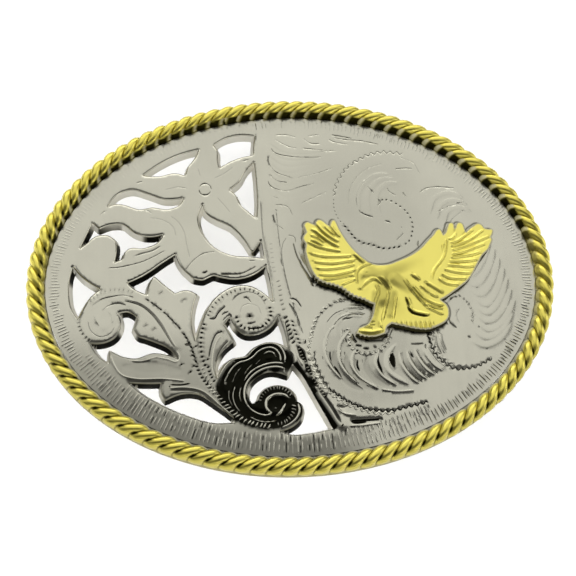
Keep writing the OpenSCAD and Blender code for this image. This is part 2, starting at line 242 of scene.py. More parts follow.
finishSet = {
    "silver": {"colour": (0.57, 0.555, 0.455), "dark": (0.008, 0.008, 0.005), "roughness": 0.23},
    "eagleGold": {"colour": (0.90, 0.80, 0.19), "dark": (0.03, 0.026, 0.003), "roughness": 0.32},
    "ropeGold": {"colour": (0.84, 0.73, 0.14), "dark": (0.03, 0.026, 0.002), "roughness": 0.33},
    "ropeInside": (0.46, 0.45, 0.41),
    "rawCastAndSheen": (0.64, 0.62, 0.54),  # rough raw metal; on the openings' walls its light tone is a painted reflection
    "back": {"colour": (0.6, 0.6, 0.57), "dark": (0.3, 0.3, 0.28), "roughness": 0.34},
    "cloudSize": 130.0,  # per metre: slow change of tone
    "cloudSwing": 0.16,
    "scratchSize": 900.0,
    "scratchStretch": (1.0, 0.08, 1.0),
    "scratchTurn": (0.0, 0.0, 0.5),
    "scratchSwing": 0.12,  # of the roughness
    "bump": 0.000012,  # m
    "bumpStrength": 0.5,
    "rawMetallic": -0.85,  # what raw metal adds to metallic and roughness
    "rawRoughness": 0.3,
    "darkRoughness": 0.2,  # and the dark finish and painted shade to roughness
}


def addNode(material, kind, **values):
    node = material.node_tree.nodes.new(kind)
    for key, value in values.items():
        if hasattr(node, key):
            setattr(node, key, value)
        else:
            node.inputs[key].default_value = value
    return node


def feed(material, socket, value):
    # a socket takes a link, a colour or a number
    if isinstance(value, bpy.types.NodeSocket):
        material.node_tree.links.new(value, socket)
    else:
        socket.default_value = (*value, 1) if isinstance(value, tuple) else value


def mixColours(material, first, second, share, kind="MIX"):
    mix = addNode(material, "ShaderNodeMix", data_type="RGBA", blend_type=kind)
    for socket, value in zip((mix.inputs[6], mix.inputs[7], mix.inputs[0]), (first, second, share)):
        feed(material, socket, value)
    return mix.outputs[2]


def timesPlus(material, first, factor, added):
    node = addNode(material, "ShaderNodeMath", operation="MULTIPLY_ADD")
    for socket, value in zip(node.inputs, (first, factor, added)):
        feed(material, socket, value)
    return node.outputs[0]


def platedMetal(name, colour, dark, roughness, rawColour=finishSet["rawCastAndSheen"]):
    # plated metal with slow clouds of tone and fine rubbed marks. One attribute darkens it: the dark finish
    # of the cuts, and also painted shade and painted dark reflections. The other turns it into rough,
    # duller metal, which on the openings' walls is also a painted light reflection
    material, shader = newMaterial(name, colour, roughness, 1.0)
    cloudSwing, scratchSwing = finishSet["cloudSwing"], finishSet["scratchSwing"]
    place = addNode(material, "ShaderNodeTexCoord").outputs["Object"]
    clouds = addNode(material, "ShaderNodeTexNoise", Scale=finishSet["cloudSize"], Detail=3.0)
    feed(material, clouds.inputs["Vector"], place)
    stretch = addNode(material, "ShaderNodeMapping", Scale=finishSet["scratchStretch"],
                      Rotation=finishSet["scratchTurn"])
    feed(material, stretch.inputs["Vector"], place)
    rubbed = addNode(material, "ShaderNodeTexNoise", Scale=finishSet["scratchSize"], Detail=4.0)
    feed(material, rubbed.inputs["Vector"], stretch.outputs["Vector"])
    patinaAndShade = addNode(material, "ShaderNodeAttribute", attribute_name="patinaAndShade").outputs["Fac"]
    raw = addNode(material, "ShaderNodeAttribute", attribute_name="rawShareAndSheen").outputs["Fac"]

    tone = timesPlus(material, clouds.outputs["Fac"], cloudSwing, 1 - cloudSwing / 2)
    shade = addNode(material, "ShaderNodeCombineColor")
    for channel in ("Red", "Green", "Blue"):
        feed(material, shade.inputs[channel], tone)
    plain = mixColours(material, colour, shade.outputs["Color"], 1.0, "MULTIPLY")
    plain = mixColours(material, plain, rawColour, raw)
    feed(material, shader.inputs["Base Color"], mixColours(material, plain, dark, patinaAndShade))
    feed(material, shader.inputs["Metallic"], timesPlus(material, raw, finishSet["rawMetallic"], 1.0))
    wornAndShaded = timesPlus(material, rubbed.outputs["Fac"], scratchSwing, roughness - scratchSwing / 2)
    wornAndShaded = timesPlus(material, raw, finishSet["rawRoughness"], wornAndShaded)
    wornAndShaded = timesPlus(material, patinaAndShade, finishSet["darkRoughness"], wornAndShaded)
    feed(material, shader.inputs["Roughness"], wornAndShaded)
    bump = addNode(material, "ShaderNodeBump", Strength=finishSet["bumpStrength"],
                   Distance=finishSet["bump"])
    feed(material, bump.inputs["Height"], rubbed.outputs["Fac"])
    feed(material, shader.inputs["Normal"], bump.outputs["Normal"])
    return material


# Rope edge

ropeSet = {
    "width": 3.4,
    "rise": 0.6,
    "turns": 96,
    "ringsPerTurn": 12,
    "lengthSteps": 1440,  # steps in which the way round the oval is measured
    "arcPoints": 19,
    "wallFoot": -1.6,  # heights are shares of half the width
    "wallTop": -0.45,
    "outerWall": 0.9,  # how far out the outer wall stands, in the same shares
    "strandFoot": -0.3,
    "strandRise": 1.28,
    "strandPower": 0.8,
    "skew": 1.6,
    "groove": 0.5,
    "groovePower": 2.2,
    "innerGroove": 1.05,  # share of the groove's depth on the inner half
    "outerGroove": (0.45, 6.0),  # and at the outer edge, and how fast it grows towards the crest
    # painted shade: how dark the outer wall and the ledge between the strands' inner ends are, and how grey
    # the ledge is
    "wallDark": 0.7,
    "ledgeDark": 0.45,  # between the strands' inner ends at the lower edge
    "ledgeRaw": 0.9,
    "ledgeFrom": 0.1,  # places that face the upper edge less than this count to the lower edge
    "outerDark": 0.4,  # painted shade on the outer flanks at the lower edge
    "weld": 0.0005,
    "sharpFrom": 50.0,  # degrees
}
# Most of the rope's looks below are painted reflection and shade, set by which side of the oval a place
# faces
ropeTone = {
    # spans over which a look comes in: first by how far a place faces a side of the oval
    "upperDark": (0.0, 0.4),
    "upperSilver": (-0.1, 0.45),
    "lowerEdge": (-0.2, 0.7),
    "leftEnds": (-0.1, 0.6),
    "leftSlots": (0.4, 0.8),
    # then across the rope, in shares of half its width
    "endDark": 0.12,
    "endSilver": (0.06, 0.2),
    "outerSlot": (0.1, 0.3),
    "innerSlot": (0.3, 0.45),
    "innerSlotEnd": (0.05, 0.2),
    "outerFlank": (0.2, 0.9),
    "innerFlank": (0.72, 0.9),
    # and across a strand
    "endSide": (0.1, 0.42),
    "slotSide": (0.5, 0.9),
    # the inner ends of the strands: how they lean, where they start, and how much farther out they
    # start on the left and by their lean
    "lean": (1.6, 0.3),
    "leastLean": 0.5,
    "endStart": 0.58,
    "endLeft": 0.14,
    "endLean": 0.16,
    # how strong each look is
    "slotDark": 1.1,
    "grooveDark": (0.45, 0.3),  # everywhere, and added at the lower edge
    "groovePower": 10,
    "upperShare": 0.65,
    "lowerShare": 0.8,
}


def ropeSection():
    # across, height, share of the groove, all from the inner foot over the top to the outer foot
    rows = [(-1.0, ropeSet["wallFoot"], 0.0), (-1.0, ropeSet["wallTop"], 0.0)]
    least, growth = ropeSet["outerGroove"]
    last = ropeSet["arcPoints"] - 1
    for i in range(ropeSet["arcPoints"]):
        angle = pi * (1 - i / last)
        height = ropeSet["strandFoot"] + ropeSet["strandRise"] * sin(angle) ** ropeSet["strandPower"]
        share = ropeSet["innerGroove"] if i < last / 2 else min(1, least + growth * (1 - i / last))
        rows.append((cos(angle), height, share))
    outer = ropeSet["outerWall"]
    return rows + [(outer, ropeSet["wallTop"], 0.0), (outer, ropeSet["wallFoot"], 0.0)]


def ropeShadeAndSilver(across, side, outward):
    # how dark and how silver a place is. Side runs from -1 to 1 over a strand, against the clock.
    # The grooves hold a dark finish everywhere; the rest is painted reflection and shade, set by the side
    # of the oval that a place faces. At the upper edge the inner ends of the strands are painted dark, with
    # light bare silver beside them; at the lower edge the grooves and outer flanks are painted darker and
    # the inner flanks grey, and dark slots are painted at the lower edge and on the left. The ends lean one
    # way on the left and the other way on the right.
    tone = ropeTone
    groove = abs(side)
    low = smoothStep(*tone["lowerEdge"], -outward.y)
    lean = max(-1.0, min(1.0, outward.x * tone["lean"][0] + tone["lean"][1]))
    lean = max(lean, tone["leastLean"]) if lean > 0 else min(lean, -tone["leastLean"])
    starts = tone["endStart"] + tone["endLeft"] * smoothStep(*tone["leftEnds"], -outward.x)
    starts -= tone["endLean"] * side * lean
    ends = smoothStep(starts, starts + tone["endDark"], -across)
    ends *= smoothStep(*tone["upperDark"], outward.y)
    ends *= smoothStep(*tone["endSide"], 0.5 - side * lean)

    slot = smoothStep(*tone["outerSlot"], across) * smoothStep(*tone["outerSlot"], 1 - across) * low
    leftSlot = smoothStep(*tone["innerSlot"], -across) * smoothStep(*tone["innerSlotEnd"], 1 + across)
    leftSlot *= smoothStep(*tone["leftSlots"], -outward.x)
    slot = max(slot, leftSlot) * smoothStep(*tone["slotSide"], groove) * tone["slotDark"]
    wornAndShaded = ropeSet["outerDark"] * smoothStep(*tone["outerFlank"], across) * low
    deep = (tone["grooveDark"][0] + tone["grooveDark"][1] * low) * groove ** tone["groovePower"]

    fromEnd, toEnd = tone["endSilver"]
    silver = (1 - ends) * smoothStep(starts + fromEnd, starts + toEnd, -across)
    silver *= smoothStep(*tone["upperSilver"], outward.y)
    lowSilver = tone["lowerShare"] * low * smoothStep(*tone["innerFlank"], -across)
    return min(1.0, max(ends, slot, wornAndShaded, deep)), max(tone["upperShare"] * silver, lowSilver)


def makeRope(material):
    half = ropeSet["width"] / 2
    steps = ropeSet["lengthSteps"]
    lengths = [0.0]
    for i in range(steps):
        chord = ovalPoint((i + 1) * 2 * pi / steps, half) - ovalPoint(i * 2 * pi / steps, half)
        lengths.append(lengths[-1] + chord.length)

    def angleAt(along):
        along %= lengths[-1]
        low = min(steps, bisect(lengths, along)) - 1
        share = (along - lengths[low]) / (lengths[low + 1] - lengths[low])
        return (low + share) * 2 * pi / steps

    rows = ropeSection()
    rings = ropeSet["turns"] * ropeSet["ringsPerTurn"]
    bm = bmesh.new()
    bmesh.ops.create_grid(bm, x_segments=rings, y_segments=len(rows), size=0.5)
    rawLayer = bm.verts.layers.float.new("rawShareAndSheen")
    darkLayer = bm.verts.layers.float.new("patinaAndShade")
    for vert in bm.verts:
        ring = round((vert.co.x + 0.5) * rings) % rings
        across, height, share = rows[round((vert.co.y + 0.5) * len(rows)) % len(rows)]
        phase = ring % ropeSet["ringsPerTurn"] / ropeSet["ringsPerTurn"]
        cut = ropeSet["groove"] * share * abs(2 * phase - 1) ** ropeSet["groovePower"]
        towards = Vector((across, height - ropeSet["strandFoot"])).normalized() * cut
        q = across * half - towards.x
        w = height * half - towards.y
        angle = angleAt(ring * lengths[-1] / rings - across * ropeSet["skew"])
        flat, middle = ovalPoint(angle, half - q), ovalPoint(angle, half)
        outward = (ovalPoint(angle, 0) - middle).normalized()
        vert.co = (flat.x, flat.y, domeHeight(*middle) + ropeSet["rise"] + w)
        dark, silver = ropeShadeAndSilver(across, 2 * phase - 1 if share else 0.0, outward)
        # painted shade: below the upper edge the inner wall is a grey ledge, and the outer wall is darkened
        if across < 0 and share == 0 and outward.y < ropeSet["ledgeFrom"]:
            dark, silver = ropeSet["ledgeDark"], ropeSet["ledgeRaw"]
        if across > 0 and share == 0:
            dark = ropeSet["wallDark"]
        vert[darkLayer] = dark
        vert[rawLayer] = silver
    bmesh.ops.remove_doubles(bm, verts=bm.verts, dist=ropeSet["weld"])
    finishPiece(bm, "ropeLook", material, ropeSet["sharpFrom"], "gold_rope", "rope_edge")


# Carving: a flat plan of outlines and cuts is triangulated, then each point is lifted to its height.
# A cut is a row of width, depth, darkness and the points of its middle line. A negative depth is a
# raised line, and a negative darkness is polish that keeps the dark finish and painted shade off.

carveSet = {
    "cornerTurn": 42.0,  # degrees; an outline that turns more keeps its corner
    "outlineStep": 0.36,
    "cutStep": 0.45,
    "sampleStep": 0.1,
    "dashStep": 0.2,
    "bandStep": 0.3,
    "backStep": 2.4,
    "rowShare": 0.866,  # the rows of the field stand this share of its step apart
    "clearShare": 0.55,  # and its points keep this share off the lines
    "wideCut": 0.9,  # a cut wider than this has a flat bottom
    "flatDark": 0.9,  # and one at least this dark is dark right up to its edges
    "flatShares": (-1, -0.6, 0.6, 1),  # where such a cut has lines, in shares of half its width
    "bankShare": 0.45,  # share of half a width in which a flat cut reaches its depth
    "fade": (0.45, 1.4),  # a cut's ends taper over this share of its length or so many widths
    "thinnest": 0.02,
    "wallSteps": (0.12, 1.0),  # how far down its wall each of the two extrusions takes the rim
    "probeShare": 0.8,  # a probe is left out if it is nearer to the outline than this share
    "weld": 0.0008,
    "planWeld": 0.0005,
    "nodeWeld": 0.002,
    "backNormal": -0.7,  # up parts of the normals that tell the hollow side from the upright walls
    "wallNormal": 0.6,
    "straight": 0.004,  # radians; points where a CAD outline turns less are left out
}


def curveThrough(points, step, closed=False):
    points = [Vector(point) for point in points]
    count = len(points)
    legs = [points[(i + 1) % count] - points[i] for i in range(count)]
    ways = []
    for i in range(count):
        into, out = legs[i - 1].normalized(), legs[i].normalized()
        if not closed and i == 0:
            ways.append((out, out))
        elif not closed and i == count - 1:
            ways.append((into, into))
        elif closed and into.angle(out, 0) > radians(carveSet["cornerTurn"]):
            ways.append((into, out))
        else:
            ways.append(((into + out).normalized(),) * 2)
    line = []
    for i in range(count if closed else count - 1):
        following = (i + 1) % count
        reach = legs[i].length / 3
        steps = max(1, round(legs[i].length / step))
        first = points[i] + ways[i][1] * reach
        last = points[following] - ways[following][0] * reach
        line += interpolate_bezier(points[i], first, last, points[following], steps + 1)[:-1]
    if not closed:
        line.append(points[-1])
    return line


def sideways(line, i, closed=False):
    ahead, behind = (i + 1) % len(line), i - 1
    if not closed:
        ahead, behind = min(i + 1, len(line) - 1), max(i - 1, 0)
    way = line[ahead] - line[behind]
    return Vector((-way.y, way.x)).normalized()


def alongLine(line):
    lengths = [0.0]
    for a, b in zip(line, line[1:]):
        lengths.append(lengths[-1] + (b - a).length)
    return lengths


def layCuts(rows):
    # the lines that the plan needs, and close samples that say how deep and dark a point is
    lines, samples = [], []
    for width, depth, dark, *points in rows:
        wide = width > carveSet["wideCut"]
        flat = wide or depth < 0 or dark >= carveSet["flatDark"]
        for step, forPlan in ((carveSet["cutStep"], True), (carveSet["sampleStep"], False)):
            firstLeg = (Vector(points[1]) - Vector(points[0])).length
            line = curveThrough(points, min(step, firstLeg / 4))
            lengths = alongLine(line)
            fade = min(lengths[-1] * carveSet["fade"][0], width * carveSet["fade"][1])
            tapers = [sqrt(min(1.0, min(s, lengths[-1] - s) / fade)) for s in lengths]
            if forPlan:
                lines.append(line)
                for share in carveSet["flatShares"] if flat else (-1, 1):
                    lines.append([spot + sideways(line, i) * width / 2 * taper * share
                                  for i, (spot, taper) in enumerate(zip(line, tapers))])
            else:
                for spot, taper in zip(line, tapers):
                    half = max(carveSet["thinnest"], width / 2 * taper)
                    samples.append((spot, half, depth * taper, dark * sqrt(taper), wide))
    tree = placeTree([sample[0] for sample in samples])
    return {"lines": lines, "samples": samples, "tree": tree, "reach": max(sample[1] for sample in samples)}


def cutAt(cuts, x, y):
    # how far the cuts sink and raise a point, and its darkness and polish
    sunk = raised = dark = polish = 0.0
    for _, index, away in cuts["tree"].find_range((x, y, 0), cuts["reach"]):
        _, half, depth, tone, wide = cuts["samples"][index]
        if away < half:
            share = 1 - away / half
            flat = smoothStep(0, carveSet["bankShare"], share)
            if depth < 0:
                raised = max(raised, -depth * (1 - (away / half) ** 2))
                polish = max(polish, -tone * flat)
            else:
                sunk, dark = max(sunk, depth * (flat if wide else share)), max(dark, tone * flat)
    return sunk, raised, dark, polish


def walkLoops(edges):
    # the closed loops of points that the edges make, longest first
    beside = {}
    for edge in edges:
        for vert in edge.verts:
            beside.setdefault(vert, []).append(edge.other_vert(vert))
    waiting = dict.fromkeys(beside)
    loops = []
    while waiting:
        loop = [waiting.popitem()[0]]
        while True:
            following = [vert for vert in beside[loop[-1]] if vert in waiting]
            if not following:
                break
            loop.append(following[0])
            waiting.pop(following[0])
        loops.append(loop)
    return sorted(loops, key=lambda loop: -sum((a.co - b.co).length for a, b in zip(loop, loop[1:])))


def leftHanded(ring):
    # the ring in counter-clockwise order
    turn = sum(a.cross(b) for a, b in zip(ring, ring[1:] + ring[:1]))
    return ring if turn > 0 else ring[::-1]


def nodeOutlines(node):
    # the outlines of the hollow side of a CAD node, counter-clockwise, longest first
    bm = bmesh.new()
    bm.from_mesh(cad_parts[node].data)
    bmesh.ops.scale(bm, vec=(1 / mm, 1 / mm, 1 / mm), verts=bm.verts)
    bmesh.ops.remove_doubles(bm, verts=bm.verts, dist=carveSet["nodeWeld"])
    bm.normal_update()
    rims = []
    for edge in bm.edges:
        low, high = sorted(face.normal.z for face in edge.link_faces)
        if low < carveSet["backNormal"] and abs(high) < carveSet["wallNormal"]:
            rims.append(edge)
    outlines = []
    for loop in walkLoops(rims):
        flat = [vert.co.xy for vert in loop]
        turns = [(spot - flat[i - 1]).angle(flat[(i + 1) % len(flat)] - spot, 0)
                 for i, spot in enumerate(flat)]
        flat = [spot for spot, turn in zip(flat, turns) if turn > carveSet["straight"]]
        outlines.append(leftHanded(flat))
    bm.free()
    return outlines


def outlineTree(outlines):
    # a tree of close samples of the outlines, and the way inward at each of them
    spots, inward = [], []
    for outline in outlines:
        line = curveThrough(outline, carveSet["sampleStep"], closed=True)
        spots += line
        inward += [sideways(line, i, closed=True) for i in range(len(line))]
    return placeTree(spots), inward


def planGrid(lines, low, high, step):
    # an even field of points that keeps off the lines
    tree = placeTree([spot for line in lines for spot in line])
    rise = step * carveSet["rowShare"]
    field = []
    for row in range(int((high[1] - low[1]) / rise)):
        for column in range(int((high[0] - low[0]) / step)):
            x = low[0] + (column + row % 2 / 2) * step
            y = low[1] + row * rise
            if tree.find((x, y, 0))[2] > step * carveSet["clearShare"]:
                field.append(Vector((x, y)))
    return field


def triangulate(rings, openRings, lines, field):
    points, edges, loops = [], [], []
    for ring in rings:
        loops.append(list(range(len(points), len(points) + len(ring))))
        points += leftHanded(ring)
    for line in lines:
        edges += [(i, i + 1) for i in range(len(points), len(points) + len(line) - 1)]
        points += line
    points += field
    spots, _, faces, _, _, owners = delaunay_2d_cdt(points, edges, loops, 1, carveSet["planWeld"], True)
    kept = [face for face, owner in zip(faces, owners) if 0 in owner and not openRings & set(owner)]
    return spots, kept


def addSheet(bm, spots, faces, lift, seam=()):
    # the sheet takes over the points of the seam that it meets
    layers = [bm.verts.layers.float.get(name) or bm.verts.layers.float.new(name)
              for name in ("patinaAndShade", "rawShareAndSheen")]
    tree = placeTree([vert.co.xy for vert in seam])
    made = {}
    for face in faces:
        for i in face:
            if i in made:
                continue
            _, near, away = tree.find((*spots[i], 0)) if seam else (None, None, 1)
            if away < carveSet["weld"]:
                made[i] = seam[near]
                continue
            height, *values = lift(*spots[i])
            made[i] = bm.verts.new((*spots[i], height))
            for layer, value in zip(layers, values):
                made[i][layer] = value
        bm.faces.new([made[i] for i in face])


def carvePiece(rings, openRings, lines, loose, step, lift, backLift, wallShade):
    # a closed piece: the lifted top, the wall round its rim and the back. The holes of the top are
    # the feet of the openings' walls.
    low = [min(spot[axis] for spot in rings[0]) for axis in (0, 1)]
    high = [max(spot[axis] for spot in rings[0]) for axis in (0, 1)]
    field = planGrid([*rings, *lines, loose], low, high, step)
    bm = bmesh.new()
    spots, faces = triangulate(rings, openRings, lines, field + loose)
    addSheet(bm, spots, faces, lift)
    rim, *holes = walkLoops([edge for edge in bm.edges if edge.is_boundary])
    for vert in (vert for loop in holes for vert in loop):
        vert.co.z = backLift(vert.co.x, vert.co.y)
    layer = bm.verts.layers.float["patinaAndShade"]
    for share in carveSet["wallSteps"]:
        onRim = set(rim)
        rimEdges = [edge for edge in bm.edges if edge.is_boundary and onRim.issuperset(edge.verts)]
        made = bmesh.ops.extrude_edge_only(bm, edges=rimEdges)["geom"]
        rim = [vert for vert in made if isinstance(vert, bmesh.types.BMVert)]
        for vert in rim:
            foot = backLift(vert.co.x, vert.co.y)
            vert.co.z += (foot - vert.co.z) * share
            # the wall takes its painted shade
            vert[layer] = wallShade(vert.co.x, vert.co.y)
    loops = walkLoops([edge for edge in bm.edges if edge.is_boundary])
    rings = [[vert.co.xy for vert in loop] for loop in loops]
    seam = [vert for loop in loops for vert in loop]
    field = planGrid(rings, low, high, carveSet["backStep"])
    spots, faces = triangulate(rings, set(range(1, len(rings))), [], field)
    addSheet(bm, spots, faces, lambda x, y: (backLift(x, y), 0.0, 0.0), seam)
    bmesh.ops.remove_doubles(bm, verts=bm.verts, dist=carveSet["weld"])
    bmesh.ops.dissolve_degenerate(bm, dist=carveSet["weld"] / 2, edges=bm.edges)
    return bm


# Face

faceSet = {
    "lip": 0.2,
    "lipWidth": 0.24,
    "lipLine": 0.08,  # the plan has points this far outside the openings, for the rounded rims
    "wallLine": 0.07,  # and lines this far inside, where the walls start
    "wallInset": 0.5,  # how far an opening's wall leans in at the back
    "insetShares": (1.0, 0.8, 0.6, 0.4, 0.2),  # less of that where an opening is narrow
    "insetSlack": 0.03,
    "wallFrom": 0.02,  # mm inside an opening's outline where its wall begins
    # painted shade on the openings' walls: dark where they face away from the light; elsewhere their light
    # raw metal is a painted reflection
    "wallSpan": (0.03, 0.06),  # and over which it turns dark
    "wallDim": (0.4, 0.6),  # a wall turns dark where it faces away from the light this much
    "wallDark": 1.05,
    "wallHigh": (-6.0, 5.0),  # how far up the face the dim side of the walls changes
    "wallBright": (10.5, 13.0),  # and where the walls are bright again
    "facingX": (0.05, 0.65),  # that is its normal times these, low on the buckle and added high up
    "facingY": (-0.9, 0.19),
    "polishGain": 1.3,
    "gridStep": 0.5,
    "edgeDark": 0.4,  # painted shade beside the openings, in the lower half
    "edgeLow": (2.0, 14.0),  # how far down the face it comes in
    "edgeSpan": (0.2, 0.5),  # mm from an opening where that ends
    "broadDark": {"under": 0.17, "stems": 0.34, "border": 0.56, "middle": 0.1},  # broad darker tones, along the lower left border a painted darker reflection
    "ridge": 0.5,  # the heights of the ridges below are taken times this
    "pillow": 0.12,
    "pillowWidth": 1.6,
    "bandCore": 0.92,  # share of its width over which a dark band keeps its tone
    "raisedCore": 0.25,  # and a raised one its height
    "punch": (0.1, 0.2, 0.1),  # depth of a punch mark, and how far it reaches along x and y
    "sharpFrom": 40.0,  # degrees
}

# Columns here and below: width, depth, darkness, then the points of the cut
petalCuts = [
    (0.26, 0.1, 0.5, (-17.3, 19.2), (-16.8, 19.8), (-16, 19.9), (-15.2, 19.4), (-15, 18.6)),
    (0.32, 0.12, 0.8, (-17.4, 18.8), (-17.2, 18), (-16.5, 17.5), (-15.7, 17.6), (-15.1, 18.3)),
    (0.28, 0.08, 0.4, (-36.4, 14.2), (-35.6, 14.9), (-34.9, 15.1)),
    (0.28, 0.08, 0.4, (-27.7, 14.9), (-27.3, 14.7), (-26.5, 14)),
    (0.28, 0.08, 0.35, (-29.6, 20.7), (-28, 21)),
    (0.7, 0.16, 0.45, (-30.1, 5.3), (-28.5, 5.8), (-26.5, 6.3), (-24.8, 7.3)),
    (0.3, 0.08, 0.4, (-35, 3.2), (-33, 3.2), (-31, 3.5), (-28.5, 4.1), (-26, 5.2), (-24, 6.3)),
    (0.3, 0.1, 0.8, (-9, 24.6), (-7.2, 25)),
    (0.24, 0.08, 0.6, (-6.9, 24.3), (-6.4, 24.5)),
    (0.3, 0.1, 0.8, (-8.3, 22.6), (-7.5, 23.2), (-7, 23.4)),
    (0.42, 0.14, 1, (-17.4, 1.3), (-16.8, 1.4), (-16.2, 1.7)),
    (0.26, 0.1, 0.7, (-14, 0.9), (-12, 0.8), (-10.2, 0.8), (-8.5, 1.5), (-7, 2.3)),
    (0.3, 0.1, 0.8, (-8.6, 3.5), (-7.1, 3.4)),
    (0.4, 0.1, 0.9, (-5.4, 2.1), (-5.9, 1.1)),
    (0.3, 0.08, 0.3, (-20.5, 2), (-19, 3.8), (-17, 5.2), (-14.5, 5.6)),
    (0.3, 0.06, 0.25, (-23, 13.4), (-21.5, 12), (-20.5, 10), (-20, 7), (-19.5, 4.5)),
    (0.3, 0.06, 0.25, (-27, 13.2), (-24.5, 12.6), (-22.5, 11), (-22, 9)),
    (0.3, 0.06, 0.22, (-24, 19), (-21.5, 19.4), (-19.5, 19)),
    (0.3, 0.06, 0.22, (-17.5, 23.5), (-17, 21.5)),
    (0.3, 0.06, 0.22, (-14.5, 21), (-12.5, 22), (-10.5, 23.5)),
    (0.3, 0.06, 0.22, (-14, 17), (-12.5, 15), (-11.5, 13.5)),
]
stemCuts = [
    (0.4, -0.1, -0.6, (-32, -3), (-29, -4), (-27, -5.5), (-25, -8), (-23.5, -11), (-22.5, -13)),
    (0.26, 0.1, 0.5, (-32, -3.5), (-29, -4.6), (-27.2, -6.1), (-25.5, -8.4), (-24, -11), (-23, -12.8)),
    (0.4, -0.1, -0.6, (-24.2, -20.5), (-21, -20.5), (-18, -21.3), (-15, -24), (-12.4, -26.6)),
    (0.26, 0.12, 0.7, (-24, -20.9), (-18.4, -21.7), (-15.3, -24.4), (-12.9, -26.5)),
    (0.36, 0.2, 1.2, (-23.8, -19.85), (-21.8, -20), (-20, -19.8)),
    (0.3, 0.15, 1, (-23.9, -20), (-23.7, -20.8)),
    (0.4, -0.12, -0.9, (-34.5, -13.5), (-33.8, -15.5), (-32.5, -17.5), (-30, -18.4), (-25, -18.7),
     (-21, -19.3)),
    (0.35, -0.1, -0.8, (-22.5, -13.5), (-21.9, -14.8), (-22.4, -15.6), (-24, -15.1), (-26, -14.6)),
    (3.2, 0.12, 0.2, (-32.6, -16), (-29, -16.4), (-25, -16.8), (-21.5, -17.4)),
    (0.3, -0.08, -0.5, (-31, -14.9), (-29, -15.2), (-27, -14.8), (-25.5, -14.4)),
    (0.35, 0.12, 0.9, (-14, -10.4), (-15, -10.7), (-15.8, -12), (-16.3, -13.6), (-16.6, -15.2)),
    (0.3, 0.12, 0.9, (-12.8, -12), (-14, -13.2), (-14.9, -14.6), (-15.5, -16.2)),
    (0.3, -0.1, -0.8, (-14.2, -11), (-15.3, -12.6), (-15.9, -15), (-16, -17.5), (-15.4, -19.2)),
    (0.3, -0.1, -0.6, (-12.6, -12.6), (-14.2, -14.6), (-15, -16.8)),
    (0.45, 0.12, 1.1, (-14.4, -10.2), (-13.9, -10.4)),
    (0.26, 0.1, 0.6, (-13.9, -8.4), (-12.9, -7.4), (-12.3, -7.2)),
]
scrollCuts = [
    (0.34, 0.08, 0.4, (-38, -4.2), (-36, -3), (-34, -2.6), (-32, -2.4), (-30, -3)),
    (0.3, 0.08, 0.4, (-36, -5.3), (-35, -4.4), (-33, -4), (-31.5, -4.4)),
    (0.5, -0.1, -0.6, (-37.2, -6), (-36.9, -7.2), (-36.3, -8.2)),
    (0.4, -0.1, -0.6, (-34.8, -5.3), (-34, -6.5), (-34.3, -7.8)),
    (0.3, 0.08, 0.35, (-38.6, -7), (-38, -9), (-36.4, -10.2), (-34.6, -9.8), (-33.6, -8.4)),
    (0.3, 0.1, 1, (-13.1, -5.4), (-14, -6.1), (-14.8, -7), (-15.3, -7.8), (-16.4, -7.8)),
    (0.26, 0.1, 0.9, (-12.7, -6.6), (-13.4, -6.8), (-14, -7.2)),
    (0.3, 0.1, 0.7, (-9.9, -4.1), (-9.3, -4), (-8.3, -5)),
    (0.75, 0.25, 1.3, (-9.1, -7.6), (-8.5, -7.6)),
    (0.3, 0.08, 0.35, (-12, -4.6), (-10.8, -3.4), (-8.8, -2.9), (-6.8, -3.8), (-5.7, -5.6)),
    (0.26, 0.06, 0.3, (-10.6, -7), (-10.2, -5.8), (-8.8, -5.2), (-7.2, -5.8), (-6.6, -7.4)),
    (0.26, 0.06, 0.3, (-10.2, -8.8), (-9, -9.2), (-7.6, -8.8)),
    (0.38, 0.16, 1.2, (-9.4, -9.8), (-8.6, -10), (-7.6, -10), (-6.9, -9.9), (-6.2, -9.6)),
    (0.3, -0.1, -0.9, (-10.2, -10.9), (-9, -11.2), (-7.8, -11.25), (-6.4, -11)),
]
